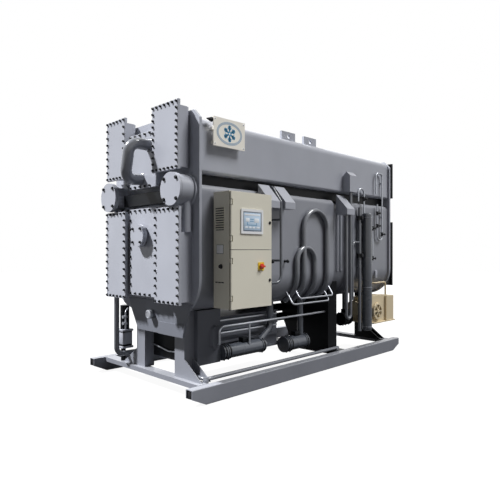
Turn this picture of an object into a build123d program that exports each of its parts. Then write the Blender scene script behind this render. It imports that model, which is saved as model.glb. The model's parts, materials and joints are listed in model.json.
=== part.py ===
from build123d import *
import os
from math import cos, radians, sin

# Water-cooled absorption chiller on a skid: two tube bundles in flat-sided shells,
# one above the other, with bolted water boxes at both ends, a control cabinet,
# solution pumps and a vacuum pump. Millimetres. +X runs along the shells, away from
# the nozzle end, -Y is the cabinet side and +Z is up. The floor is Z = 0, and the
# origin lies under the middle of the whole outline.

# Shells, about the machine's own middle plane
mid_y = -170.0
shell_length = 3770.0
shell_width = 1576.0
lower_shell_bottom = 900.0
lower_shell_height = 1341.0
lower_shell_belly = 366.0
lower_shell_shoulder = 70.0
recess_start = 440.0
recess_length = 460.0
recess_depth = 118.0
neck_height = 117.0
neck_inset = 110.0
upper_shell_height = 567.0
upper_shell_round = 90.0
upper_shell_foot = 30.0

# Skid
skid_overhang = 176.0
skid_width = 2104.0
beam_width = 102.0
beam_height = 178.0
beam_wall = 8.0
beam_corner = 12.0
foot_cut_length = 187.0
foot_cut_height = 86.0
cross_beam_width = 135.0
cross_beam_height = 54.0
cross_beam_inset = 228.5

# Legs under the shell ends
leg_length = 130.0
leg_width = 173.0
leg_offset = 381.0
leg_inset = 109.0
gusset_reach = 290.0
gusset_height = 204.0
gusset_plate = 14.0

# Tube sheets that close the shell ends
sheet_plate = 32.0
sheet_rim = 29.0
left_sheet_rise = 78.0
right_sheet_rise = 17.0
sheet_chamfer = 92.0

# Water boxes at the nozzle end: heights from the shells, widths from the middle plane
cover_plate = 32.0
cover_rim = 26.0
cover_edge = 3.0
lower_near_box = (-722.0, -293.0)
lower_far_box = (293.0, 722.0)
upper_near_box = (-705.0, -248.0)
upper_far_box = (306.0, 712.0)
side_box_depth = 155.0
lower_box_foot = 103.0
lower_box_drop = 240.0
upper_box_foot = 22.0
upper_box_rise = 156.0
box_round = 60.0
box_head_room = 50.0
centre_box_half = 265.0
centre_box_depth = 112.0
lower_centre_foot = 150.0
lower_centre_drop = 221.0
upper_centre_foot = 115.0
upper_centre_drop = 67.0
step_depth = 90.0
step_height = 257.0

# Water boxes at the other end of the tubes
end_box_depth = 95.0
end_plate = 32.0

# Nozzles with blind covers
nozzle_reach = 221.0
nozzle_offset = 620.0
nozzle_drop = 61.0
nozzle_pipe = 260.0
flange_size = 340.0
flange_plate = 26.0
flange_gap = 3.0
flange_groove = 8.0
bolt_circle = 295.0
bolt_hole = 22.0
bolt_count = 4
collar_size = 350.0
collar_plate = 30.0
centre_nozzle_drop = 521.0
centre_nozzle_pipe = 180.0
centre_flange_size = 250.0
centre_bolt_circle = 210.0
centre_bolt_hole = 18.0
drop_pipe = 100.0
drop_pipe_inset = 52.0
drop_pipe_offset = 676.0
header_lift = 42.0
header_height = 134.0
header_depth = 110.0

# Mitred return bend on the upper centre cover
bend_pipe = 120.0
bend_reach = 240.0
bend_head = 152.0
bend_foot = 120.0
bend_shoulder = 115.0
bend_knee = 190.0
bend_bulge_drop = 226.0
bend_bulge_rise = 57.0

# Sump under the nozzle end
sump_plate = 14.0
sump_bottom = 640.0
sump_shoulder = 889.0
sump_waist = 774.0
sump_near = (722.0, 644.0, 607.0, 569.0)
sump_far = (300.0, 455.0, 500.0)
pad_far = -130.0
pad_plate = 12.0
stub_pipe = 95.0
stub_length = 60.0
stub_height = 840.0

# Cabinet with two doors, hinged on their left edges
cabinet_inset = 160.0
cabinet_width = 600.0
cabinet_standoff = 27.0
cabinet_depth = 236.0
cabinet_bottom = 960.0
cabinet_height = 1196.0
cabinet_wall = 20.0
door_plate = 22.0
door_gap = 6.0
lower_door_share = 604.0
panel_inset = 133.0
panel_width = 325.0
panel_lift = 164.0
panel_height = 257.0
panel_plate = 12.0
screen_rim = 26.0
screen_depth = 4.0
switch_inset = 168.0
switch_lift = 428.0
switch_size = 88.0
switch_plate_depth = 8.0
knob_gap = 5.0
knob_size = 58.0
knob_base = 10.0
knob_grip = 18.0
knob_depth = 30.0
shaft_size = 12.0
hinge_inset = 110.0
knuckle_height = 50.0
knuckle_size = 18.0
knuckle_arm = 12.0
notch_reach = 16.0
pin_size = 8.0
pin_length = 100.0
rail_lifts = (330.0, 1090.0)
rail_height = 60.0
rail_inset = 25.0

# Sign board, lifting lugs and sloped bracket covers
board_inset = 118.0
board_width = 450.0
board_height = 300.0
board_drop = 285.0
board_plate = 12.0
board_standoff = 60.0
standoff_margin = 25.0
standoff_size = 30.0
standoff_head = 90.0
lug_width = 258.0
lug_plate = 30.0
lug_height = 111.0
lug_inset = 98.0
lug_hole = 50.0
lug_starts = (-514.0, -80.0)
wedge_width = 180.0
wedge_reach = 180.0
wedge_lip = 77.0
wedge_drop = 201.0
wedge_rise = 74.0
wedge_starts = (-1037.0, -764.0, 497.0)

# Pipes on the shell front
loop_pipe = 64.0
loop_wrap = 60.0
outer_loop = (-240.0, 245.0, 2068.0)
inner_loop = (-377.0, -15.0, 1592.0)
riser_left = 655.0
riser_right = 757.0
riser_pipe = 42.0
riser_standoff = 62.0
riser_bottom = 615.0
box_left = 662.0
box_width = 174.0
box_reach = 114.0
box_lift = 6.0
box_wall_height = 226.0
box_roof = 55.0
conduit_x = -810.0
conduit_size = 32.0
conduit_standoff = 151.0
conduit_lift = 227.0
conduit_bend = 90.0
conduit_clips = (1427.0, 1900.0)
clip_width = 24.0
hook_x = 841.0
hook_pipe = 30.0
hook_top = 1673.0
hook_bottom = 858.0
feed_x = 1021.0
feed_pipe = 45.0
feed_bottom = 400.0
feed_head = 71.0
feed_standoff = 40.0
pipe_clips = (1300.0, 2000.0)

# Purge vessel, sample tubes and level gauge, placed from the far end of the shell
vessel_inset = 735.0
vessel_size = 140.0
vessel_standoff = 12.0
vessel_bottom = 400.0
vessel_top = 2095.0
vessel_clamps = (1350.0, 1950.0)
clamp_width = 60.0
clamp_height = 40.0
sample_pipe = 24.0
sample_standoff = 32.0
sample_top = 2445.0
sample_pitch = 150.0
sample_end = 2260.0
tall_inset = 405.0
tall_pitch = 175.0
tall_top = 2719.0
tall_bottom = 1713.0
tall_end = 2400.0
tall_return = 40.0
tall_bend = 55.0
gauge_inset = 552.0
gauge_pipe = 26.0
gauge_bottom = 1384.0
gauge_top = 1930.0
gauge_standoff = 60.0
gauge_cocks = (1440.0, 1880.0)
sample_clips = (2050.0, 2560.0)
balance_pipe = 22.0
balance_rise = 160.0
balance_inset = 90.0
balance_bend = 45.0
balance_loops = (
    (-308.0, 400.0, 955.0, 20.0),
    (-440.0, 310.0, 890.0, 20.0),
)

# Heat exchanger and pumps under the shells
exchanger_inset = 175.0
exchanger_right = -300.0
exchanger_head = 331.0
exchanger_near = 530.0
exchanger_back = 420.0
exchanger_step = 120.0
exchanger_low = 300.0
exchanger_body_low = 330.0
exchanger_body_high = 790.0
exchanger_ribs = 4
rib_height = 22.0
rib_depth = 20.0
capsule_size = 130.0
capsule_height = 280.0
capsule_depth = 30.0
capsule_inset = 89.0
capsule_z = 583.0
capsule_draft = 30.0
run_pipe = 28.0
run_heights = (606.0, 751.0)
run_standoff = 60.0
outer_run_y = -760.0
outer_run_z = 702.0
outer_run_drop = 500.0
outer_run_x = -1446.0
branch_x = -975.0
branch_pipe = 22.0
run_bend = 60.0
pump_ring = 52.0
pump_groove = 14.0
pump_body_share = 0.92
pump_cap = 60.0
pump_cap_share = 0.5
solution_pump_z = 400.0
solution_pump_length = 734.0
solution_pump_size = 175.0
refrigerant_pump_start = -307.0
refrigerant_pump_length = 494.0
refrigerant_pump_z = 345.0
refrigerant_pump_size = 200.0
purge_pump_start = 960.0
purge_pump_length = 265.0
purge_pump_z = 545.0
purge_pump_size = 190.0
suction_pipe = 80.0
suction_top = 980.0
suction_knee = 600.0
suction_x = -551.0
suction_reach = 270.0
suction_bend = 120.0
refrigerant_suction_x = 40.0
purge_suction_x = 1090.0

# Middle support with its tapered leg
support_x = 506.0
support_width = 200.0
support_plate = 24.0
support_near = 650.0
taper_edge = ((42.0, 267.0), (180.0, 536.0), (250.0, 900.0))

# Vacuum pump on a shelf off the near leg
shelf_inset = 31.0
shelf_length = 619.0
shelf_front = -1100.0
shelf_z = 485.0
shelf_plate = 16.0
housing_length = 355.0
housing_step = 20.0
housing_inset = 40.0
housing_depth = 200.0
housing_height = 384.0
crank_inset = 30.0
crank_drop = 15.0
wheel_inset = 133.0
wheel_lift = 176.0
wheel_size = 240.0
wheel_rim = 26.0
wheel_hub = 60.0
wheel_spokes = 6
wheel_spoke = 20.0
wheel_plate = 30.0
wheel_gap = 6.0
wheel_edge = 4.0
axle_size = 24.0
axle_end = 6.0
motor_inset = 5.0
motor_length = 280.0
motor_y = -740.0
motor_lift = 195.0
motor_size = 220.0
motor_fins = 5
fin_height = 8.0
fin_width = 12.0
motor_foot = 120.0
motor_foot_inset = 20.0
vacuum_line = 26.0
vacuum_line_x = 1738.0
vacuum_line_left = 1408.0
vacuum_line_standoff = 42.0
vacuum_line_z = 1070.0

# Pipes on the skid and at the far side of the nozzle end
skid_pipe_inset = 35.0
skid_pipe_size = 36.0
skid_pipe_start = 60.0
skid_pipe_turn = 160.0
drain_offset = 675.0
drain_low = 292.0
drain_run = 360.0
drain_size = 62.0
drain_bend = 90.0
far_motor_y = 590.0
far_motor_size = 110.0
far_motor_top = 873.0
far_pump_size = 130.0
far_pump_low = 348.0
far_pump_high = 573.0
far_pump_foot = 60.0
far_foot_offset = 35.0

clear = 0.3

half_shell = shell_length / 2
half_width = shell_width / 2
front = mid_y - half_width
sheet_x = half_shell + sheet_plate
lower_shell_top = lower_shell_bottom + lower_shell_height
upper_shell_bottom = lower_shell_top + neck_height
upper_shell_top = upper_shell_bottom + upper_shell_height
skid_length = shell_length + 2 * skid_overhang
cross_beam_x = skid_length / 2 - cross_beam_inset
leg_x = half_shell - leg_inset
beam_y = (skid_width - beam_width) / 2
inner_edge = beam_y - beam_width / 2

nozzle_height = lower_shell_top - nozzle_drop
nozzle_face_x = -sheet_x - nozzle_reach
centre_nozzle_height = lower_shell_top - centre_nozzle_drop
centre_cover_x = -sheet_x - centre_box_depth - cover_plate
bend_left = centre_cover_x - bend_reach - bend_pipe / 2

cabinet_left = -half_shell + cabinet_inset
cabinet_right = cabinet_left + cabinet_width
cabinet_back = front - cabinet_standoff
cabinet_front = cabinet_back - cabinet_depth
cabinet_top = cabinet_bottom + cabinet_height
door_front = cabinet_front - door_gap - door_plate
door_seam = cabinet_bottom + lower_door_share
hinge_x = cabinet_left + door_plate / 2
hinge_y = door_front + door_plate / 2
switch_x = cabinet_right - switch_inset
switch_height = cabinet_bottom + switch_lift

wedge_bottom = lower_shell_top - wedge_drop
exchanger_y = mid_y - exchanger_near
pump_y = exchanger_y
exchanger_left = -half_shell + exchanger_inset
exchanger_shoulder = exchanger_left + exchanger_head
shelf_right = half_shell - shelf_inset
shelf_left = shelf_right - shelf_length
shelf_back = mid_y - leg_offset - leg_width / 2
shelf_top = shelf_z + shelf_plate
housing_front = shelf_front + housing_inset
housing_left = shelf_left + housing_step
housing_right = housing_left + housing_length
wheel_x = shelf_left + wheel_inset
wheel_z = shelf_z + wheel_lift
vessel_x = half_shell - vessel_inset
gauge_x = half_shell - gauge_inset
tall_left = half_shell - tall_inset

pumps = (
    (
        "solution_pump",
        exchanger_shoulder,
        solution_pump_length,
        solution_pump_z,
        solution_pump_size,
    ),
    (
        "refrigerant_pump",
        refrigerant_pump_start,
        refrigerant_pump_length,
        refrigerant_pump_z,
        refrigerant_pump_size,
    ),
    ("purge_pump", purge_pump_start, purge_pump_length, purge_pump_z, purge_pump_size),
)

# The origin lies under the middle of the outline, whose reach differs by side
far_side = skid_width / 2
near_side = door_front - switch_plate_depth - knob_gap - knob_depth
shift_x = -(skid_length / 2 + bend_left) / 2
shift_y = -(far_side + near_side) / 2

os.makedirs("parts", exist_ok=True)


def save(piece, name):
    """Names a finished piece and writes it in the outline's own frame."""
    placed = piece.part.moved(Location((shift_x, shift_y, 0)))
    placed.label = name
    export_step(placed, f"parts/{name}.step")


def block(x, y, z):
    """Adds a box that spans three (low, high) pairs to the open part."""
    with Locations(((x[0] + x[1]) / 2, (y[0] + y[1]) / 2, (z[0] + z[1]) / 2)):
        Box(x[1] - x[0], y[1] - y[0], z[1] - z[0])


def around(middle, width):
    """Gives the (low, high) pair of a width about its middle."""
    return (middle - width / 2, middle + width / 2)


def tube(points, size, bend):
    """Adds a round pipe along straight runs joined by bends."""
    with BuildLine(mode=Mode.PRIVATE) as path:
        if len(points) > 2:
            FilletPolyline(*points, radius=bend)
        else:
            Line(*points)
    with BuildSketch(Plane(path.line @ 0, z_dir=path.line % 0)) as section:
        Circle(size / 2)
    sweep(sections=section.sketch, path=path.line)


def rod(plane, centre, size, length, mode=Mode.ADD):
    """Adds a round bar, or bores one out, that stands on a plane at a point of it."""
    with BuildSketch(plane) as section:
        with Locations(centre):
            Circle(size / 2)
    extrude(section.sketch, amount=length, mode=mode)


def shell_outline(half, bottom, top, belly, shoulder):
    """Adds a shell's cross-section with rounded corners, in Y and Z."""
    with Locations((mid_y, (bottom + top) / 2)):
        Rectangle(2 * half, top - bottom)
    corners = vertices().group_by(Axis.Y)
    fillet(corners[-1], shoulder)
    fillet(vertices().group_by(Axis.Y)[0], belly)


def trim_to_belly(inset):
    """Cuts the open part back to just clear of the lower shell."""
    with BuildSketch(Plane.YZ.offset(-half_shell)) as profile:
        shell_outline(
            half_width - inset + clear,
            lower_shell_bottom - clear,
            lower_shell_top,
            lower_shell_belly,
            lower_shell_shoulder,
        )
    extrude(profile.sketch, amount=shell_length, mode=Mode.SUBTRACT)


# Skid: two open box beams with their feet cut back, joined by flat cross beams
for name, side in (("skid_beam_near", -1), ("skid_beam_far", 1)):
    with BuildPart() as skid_beam:
        with BuildSketch(Plane.YZ.offset(-skid_length / 2)):
            with Locations((side * beam_y, beam_height / 2)):
                RectangleRounded(beam_width, beam_height, beam_corner)
                RectangleRounded(
                    beam_width - 2 * beam_wall,
                    beam_height - 2 * beam_wall,
                    beam_corner - beam_wall,
                    mode=Mode.SUBTRACT,
                )
        extrude(amount=skid_length)
        for end in (-1, 1):
            with BuildSketch(Plane.XZ):
                with BuildLine():
                    Polyline(
                        (end * skid_length / 2, 0),
                        (end * skid_length / 2, foot_cut_height),
                        (end * (skid_length / 2 - foot_cut_length), 0),
                        close=True,
                    )
                make_face()
            extrude(amount=skid_width, both=True, mode=Mode.SUBTRACT)
    save(skid_beam, name)

cross_beam_span = (beam_height - cross_beam_height, beam_height)
with BuildPart() as cross_beams:
    for end in (-1, 1):
        block(around(end * cross_beam_x, cross_beam_width), (-inner_edge, inner_edge), cross_beam_span)
save(cross_beams, "cross_beams")

# Legs: box columns cut to the shell's belly, each with two gusset plates outwards
for name, end in (("legs_left", -1), ("legs_right", 1)):
    with BuildPart() as legs:
        for side in (-1, 1):
            y = mid_y + side * leg_offset
            x_span = around(end * leg_x, leg_length)
            block(x_span, around(y, leg_width), (beam_height, lower_shell_top / 2))
            for x in (x_span[0], x_span[1] - gusset_plate):
                with BuildSketch(Plane.YZ.offset(x)):
                    with BuildLine():
                        foot = y + side * leg_width / 2
                        Polyline(
                            (foot, beam_height),
                            (foot + side * gusset_reach, beam_height),
                            (foot, beam_height + gusset_height),
                            close=True,
                        )
                    make_face()
                extrude(amount=gusset_plate)
        trim_to_belly(0)
    save(legs, name)

# Lower shell: full width at both ends, with a recess for the riser pipes
recess_end = recess_start + recess_length
with BuildPart() as lower_shell:
    for start, stop, inset in (
        (-half_shell, recess_start, 0),
        (recess_start, recess_end, recess_depth),
        (recess_end, half_shell, 0),
    ):
        with BuildSketch(Plane.YZ.offset(start)):
            shell_outline(
                half_width - inset,
                lower_shell_bottom,
                lower_shell_top,
                lower_shell_belly,
                lower_shell_shoulder,
            )
        extrude(amount=stop - start)
save(lower_shell, "lower_shell")

with BuildPart() as shell_neck:
    block(
        (-half_shell, half_shell),
        around(mid_y, shell_width - 2 * neck_inset),
        (lower_shell_top, upper_shell_bottom),
    )
save(shell_neck, "shell_neck")

with BuildPart() as upper_shell:
    with BuildSketch(Plane.YZ.offset(-half_shell)):
        shell_outline(
            half_width, upper_shell_bottom, upper_shell_top, upper_shell_foot, upper_shell_round
        )
    extrude(amount=shell_length)
save(upper_shell, "upper_shell")

# Tube sheets: one plate over both shells at each end, a rim wider all round
for name, start, rise in (
    ("tube_sheet_left", -sheet_x, left_sheet_rise),
    ("tube_sheet_right", half_shell, right_sheet_rise),
):
    with BuildPart() as sheet:
        with BuildSketch(Plane.YZ.offset(start)):
            low, high = lower_shell_bottom - sheet_rim, upper_shell_top + rise
            with Locations((mid_y, (low + high) / 2)):
                Rectangle(shell_width + 2 * sheet_rim, high - low)
            chamfer(vertices().group_by(Axis.Y)[-1], sheet_chamfer)
            fillet(vertices().group_by(Axis.Y)[0], lower_shell_belly + sheet_rim)
        extrude(amount=sheet_plate)
    save(sheet, name)

# Water boxes at the nozzle end: near, centre and far, at two levels
lower_side = (lower_shell_bottom + lower_box_foot, lower_shell_top - lower_box_drop)
upper_side = (upper_shell_bottom + upper_box_foot, upper_shell_top + upper_box_rise)
lower_centre = (lower_shell_bottom + lower_centre_foot, lower_shell_top - lower_centre_drop)
upper_centre = (upper_shell_bottom - upper_centre_foot, upper_shell_top - upper_centre_drop)
centre_y = around(mid_y, 2 * centre_box_half)
step_z = lower_side[1] - step_height


def from_middle(span):
    """Gives a span in Y from one that counts from the middle plane."""
    return (mid_y + span[0], mid_y + span[1])


def inside(span, low, high):
    """Gives a span drawn in by a margin at each end."""
    return (span[0] + low, span[1] - high)


def box_body(y_span, z_span, depth, rounded=0.0):
    """Adds a water box body, with its rear edges rounded towards the tube sheet."""
    with BuildSketch(Plane.XY.offset(z_span[0])) as plan:
        with Locations((-sheet_x - depth / 2, (y_span[0] + y_span[1]) / 2)):
            Rectangle(depth, y_span[1] - y_span[0])
        if rounded:
            fillet(vertices().group_by(Axis.X)[-1], rounded)
    extrude(plan.sketch, amount=z_span[1] - z_span[0])


def centre_body(z_span):
    """Adds the body of a centre box, all of it behind its cover."""
    rim_y = inside(centre_y, cover_rim, cover_rim)
    box_body(rim_y, inside(z_span, cover_rim, cover_rim), centre_box_depth)


def save_covers(level, spans, side_z, centre_z):
    """Makes a level's three cover plates with their outer edges eased."""
    with BuildPart() as covers:
        for span in spans:
            back = -sheet_x - side_box_depth
            block((back - cover_plate, back), from_middle(span), side_z)
        block((centre_cover_x, centre_cover_x + cover_plate), centre_y, centre_z)
        for face in faces().filter_by(lambda one: one.normal_at().X < -0.9):
            chamfer(face.edges(), cover_edge)
    save(covers, f"covers_{level}")


with BuildPart() as lower_boxes:
    for side, span in ((-1, lower_near_box), (1, lower_far_box)):
        full = inside(from_middle(span), cover_rim, cover_rim)
        box_body(full, (lower_side[0] + cover_rim, step_z), side_box_depth)
        narrow = inside(full, step_depth, 0) if side < 0 else inside(full, 0, step_depth)
        box_body(narrow, (step_z, lower_side[1] - cover_rim), side_box_depth)
    centre_body(lower_centre)
save(lower_boxes, "water_boxes_lower")

with BuildPart() as upper_boxes:
    for span in (upper_near_box, upper_far_box):
        full = inside(from_middle(span), cover_rim, cover_rim)
        box_body(full, inside(upper_side, cover_rim, box_head_room), side_box_depth, box_round)
    centre_body(upper_centre)
save(upper_boxes, "water_boxes_upper")

save_covers("lower", (lower_near_box, lower_far_box), lower_side, lower_centre)
save_covers("upper", (upper_near_box, upper_far_box), upper_side, upper_centre)

# Water boxes at the other end: one wide box a level under its cover plate
end_levels = (
    ("end_box_lower", lower_side),
    ("end_box_upper", (upper_side[0], upper_shell_top)),
)
for name, z_span in end_levels:
    with BuildPart() as end_box:
        block(
            (sheet_x, sheet_x + end_box_depth),
            around(mid_y, shell_width - 2 * cover_rim),
            inside(z_span, cover_rim, cover_rim),
        )
        block(
            (sheet_x + end_box_depth, sheet_x + end_box_depth + end_plate),
            around(mid_y, shell_width),
            z_span,
        )
    save(end_box, name)

# Nozzles: pipe, flange and bolted blind cover. The side ones have a collar at the
# tube sheet and a round neck down to the step of the lower boxes
nozzle_large = (-sheet_x, nozzle_pipe, flange_size, bolt_circle, bolt_hole)
nozzle_small = (
    centre_cover_x,
    centre_nozzle_pipe,
    centre_flange_size,
    centre_bolt_circle,
    centre_bolt_hole,
)
nozzles = (
    ("nozzle_near", -1, nozzle_height, nozzle_large),
    ("nozzle_far", 1, nozzle_height, nozzle_large),
    ("nozzle_centre", 0, centre_nozzle_height, nozzle_small),
)
for name, side, z, (root_x, pipe, flange, circle, hole) in nozzles:
    y = mid_y + side * nozzle_offset
    with BuildPart() as nozzle:
        bolted_length = 2 * flange_plate + flange_gap
        rod(Plane.YZ.offset(nozzle_face_x), (y, z), flange, flange_plate)
        rod(Plane.YZ.offset(nozzle_face_x + bolted_length - flange_plate), (y, z), flange, flange_plate)
        gasket = Plane.YZ.offset(nozzle_face_x + flange_plate)
        rod(gasket, (y, z), flange - 2 * flange_groove, flange_gap)
        rod(Plane.YZ.offset(nozzle_face_x + bolted_length), (y, z), pipe, root_x - nozzle_face_x - bolted_length)
        if side:
            rod(Plane.YZ.offset(root_x - collar_plate), (y, z), collar_size, collar_plate)
            neck = (-sheet_x - drop_pipe_inset, mid_y + side * drop_pipe_offset)
            rod(Plane.XY.offset(step_z), neck, drop_pipe, z - step_z)
        with BuildSketch(Plane.YZ.offset(nozzle_face_x)):
            with Locations((y, z)):
                with PolarLocations(circle / 2, bolt_count, start_angle=45):
                    Circle(hole / 2)
        extrude(amount=bolted_length, mode=Mode.SUBTRACT)
    save(nozzle, name)

with BuildPart() as header:
    header_half = nozzle_offset - collar_size / 2 - clear
    block(
        (-sheet_x - header_depth, -sheet_x),
        around(mid_y, 2 * header_half),
        (lower_centre[1] + header_lift, lower_centre[1] + header_lift + header_height),
    )
save(header, "nozzle_header")

# Return bend: straight runs mitred together, looped out from the upper centre cover
with BuildPart() as return_bend:
    bend_top = upper_centre[1] - bend_head
    bend_bottom = upper_centre[0] + bend_foot
    with BuildLine(mode=Mode.PRIVATE) as bend_path:
        Polyline(
            (centre_cover_x, mid_y, bend_top),
            (centre_cover_x - bend_shoulder, mid_y, bend_top),
            (centre_cover_x - bend_reach, mid_y, bend_top - bend_bulge_drop),
            (centre_cover_x - bend_reach, mid_y, bend_bottom + bend_bulge_rise),
            (centre_cover_x - bend_knee, mid_y, bend_bottom),
            (centre_cover_x, mid_y, bend_bottom),
        )
    with BuildSketch(Plane(bend_path.line @ 0, z_dir=bend_path.line % 0)) as bend_section:
        Circle(bend_pipe / 2)
    sweep(sections=bend_section.sketch, path=bend_path.line, transition=Transition.RIGHT)
save(return_bend, "return_bend")

# Sump: a trough-shaped plate below the tube sheet, with a capped stub and a pad
sump_x = -sheet_x - sump_plate
with BuildPart() as sump_box:
    near_low = mid_y - sump_near[3]
    near_waist = mid_y - sump_near[2]
    with BuildSketch(Plane.YZ.offset(sump_x)):
        with BuildLine():
            Polyline(
                (mid_y - sump_near[0], lower_side[0]),
                (mid_y - sump_near[1], sump_shoulder),
                (near_waist, sump_waist),
                (near_low, sump_bottom),
                (mid_y + sump_far[0], sump_bottom),
                (mid_y + sump_far[1], sump_shoulder),
                (mid_y + sump_far[2], lower_side[0]),
                close=True,
            )
        make_face()
    extrude(amount=sump_plate)
    with BuildSketch(Plane.YZ.offset(sump_x)):
        with BuildLine():
            Polyline(
                (near_waist, sump_waist),
                (near_low, sump_bottom),
                (mid_y + pad_far, sump_bottom),
                (mid_y + pad_far, sump_waist),
                close=True,
            )
        make_face()
    extrude(amount=-pad_plate)
    rod(Plane.YZ.offset(sump_x), (mid_y, stub_height), stub_pipe, -stub_length)
save(sump_box, "sump_box")

# Cabinet: a steel box open at the front, on two rails, with knuckles for its doors
doors = (
    ("cabinet_door_lower", cabinet_bottom, door_seam - door_gap / 2),
    ("cabinet_door_upper", door_seam + door_gap / 2, cabinet_top),
)


def knuckle_heights(low, high):
    """Gives the middle height of both hinges on a door."""
    return (low + hinge_inset, high - hinge_inset)


with BuildPart() as cabinet_body:
    block((cabinet_left, cabinet_right), (cabinet_front, cabinet_back), (cabinet_bottom, cabinet_top))
    with Locations(
        (
            (cabinet_left + cabinet_right) / 2,
            (cabinet_front + cabinet_back - cabinet_wall) / 2,
            (cabinet_bottom + cabinet_top) / 2,
        )
    ):
        Box(
            cabinet_width - 2 * cabinet_wall,
            cabinet_depth - cabinet_wall,
            cabinet_height - 2 * cabinet_wall,
            mode=Mode.SUBTRACT,
        )
    for _, low, high in doors:
        for z in knuckle_heights(low, high):
            with BuildSketch(Plane.XY.offset(z - knuckle_height / 2)):
                with Locations((hinge_x, hinge_y)):
                    Circle(knuckle_size / 2)
                with Locations((hinge_x, (hinge_y + cabinet_front) / 2)):
                    Rectangle(knuckle_arm, cabinet_front - hinge_y)
            extrude(amount=knuckle_height)
            rod(Plane.XY.offset(z - pin_length / 2), (hinge_x, hinge_y), pin_size, pin_length)
save(cabinet_body, "cabinet_body")

with BuildPart() as cabinet_rails:
    for lift in rail_lifts:
        block(
            inside((cabinet_left, cabinet_right), rail_inset, rail_inset),
            (cabinet_back, front),
            (cabinet_bottom + lift, cabinet_bottom + lift + rail_height),
        )
save(cabinet_rails, "cabinet_rails")

for name, low, high in doors:
    with BuildPart() as door:
        with BuildSketch(Plane.XY.offset(low)):
            with Locations(((hinge_x + cabinet_right) / 2, hinge_y)):
                Rectangle(cabinet_right - hinge_x, door_plate)
            with Locations((hinge_x, hinge_y)):
                Circle(door_plate / 2)
        extrude(amount=high - low)
        for z in knuckle_heights(low, high):
            notch = knuckle_height + 2 * door_gap
            with BuildSketch(Plane.XY.offset(z - notch / 2)):
                with Locations((hinge_x, hinge_y)):
                    Rectangle(2 * notch_reach, 2 * door_plate)
            extrude(amount=notch, mode=Mode.SUBTRACT)
            with BuildSketch(Plane.XY.offset(z - pin_length / 2 - clear)):
                with Locations((hinge_x, hinge_y)):
                    Circle(pin_size / 2 + clear)
            extrude(amount=pin_length + 2 * clear, mode=Mode.SUBTRACT)
        if name == "cabinet_door_lower":
            with BuildSketch(Plane.XZ.offset(-door_front)):
                with Locations((switch_x, switch_height)):
                    Circle(shaft_size / 2 + clear)
            extrude(amount=-door_plate, mode=Mode.SUBTRACT)
    save(door, name)

panel_left = cabinet_left + panel_inset
panel_bottom = door_seam + panel_lift
panel_middle = (panel_left + panel_width / 2, panel_bottom + panel_height / 2)
with BuildPart() as touch_panel:
    with BuildSketch(Plane.XZ.offset(-door_front)):
        with Locations(panel_middle):
            RectangleRounded(panel_width, panel_height, panel_plate)
    extrude(amount=panel_plate)
    with BuildSketch(Plane.XZ.offset(-door_front + panel_plate)):
        with Locations(panel_middle):
            Rectangle(panel_width - 2 * screen_rim, panel_height - 2 * screen_rim)
    extrude(amount=-screen_depth, mode=Mode.SUBTRACT)
save(touch_panel, "touch_panel")

with BuildPart() as switch_plate:
    with BuildSketch(Plane.XZ.offset(-door_front)):
        with Locations((switch_x, switch_height)):
            RectangleRounded(switch_size, switch_size, switch_size / 8)
            Circle(shaft_size / 2 + clear, mode=Mode.SUBTRACT)
    extrude(amount=switch_plate_depth)
save(switch_plate, "switch_plate")

with BuildPart() as switch_handle:
    knob_back = door_front - switch_plate_depth - knob_gap
    switch_place = (switch_x, switch_height)
    rod(Plane.XZ.offset(-knob_back), switch_place, knob_size, knob_base)
    with BuildSketch(Plane.XZ.offset(-knob_back + knob_base)):
        with Locations(switch_place):
            RectangleRounded(knob_size, knob_grip, knob_grip / 3)
    extrude(amount=knob_depth - knob_base)
    shaft_reach = knob_gap + switch_plate_depth + door_plate / 2
    rod(Plane.XZ.offset(-knob_back), switch_place, shaft_size, -shaft_reach)
save(switch_handle, "switch_handle")

# Sign board on four standoffs
board_left = -half_shell + board_inset
board_bottom = upper_shell_top - board_drop
with BuildPart() as sign_board:
    board_back = front - board_standoff
    block(
        (board_left, board_left + board_width),
        (board_back - board_plate, board_back),
        (board_bottom, board_bottom + board_height),
    )
    for x in (board_left + standoff_margin, board_left + board_width - standoff_margin - standoff_size):
        for z in (board_bottom + standoff_margin, upper_shell_top - standoff_head - standoff_size):
            block((x, x + standoff_size), (board_back, front), (z, z + standoff_size))
save(sign_board, "sign_board")

with BuildPart() as lifting_lugs:
    for x in lug_starts:
        with BuildSketch(Plane.XZ.offset(-front - lug_inset)):
            with Locations((x + lug_width / 2, upper_shell_top + lug_height / 2)):
                Rectangle(lug_width, lug_height)
                Circle(lug_hole / 2, mode=Mode.SUBTRACT)
        extrude(amount=-lug_plate)
save(lifting_lugs, "lifting_lugs")

with BuildPart() as bracket_covers:
    for x in wedge_starts:
        with BuildSketch(Plane.YZ.offset(x)):
            with BuildLine():
                Polyline(
                    (front, wedge_bottom),
                    (front - wedge_reach, wedge_bottom),
                    (front - wedge_reach, wedge_bottom + wedge_lip),
                    (front, lower_shell_top + wedge_rise),
                    close=True,
                )
            make_face()
        extrude(amount=wedge_width)
save(bracket_covers, "bracket_covers")

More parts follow.
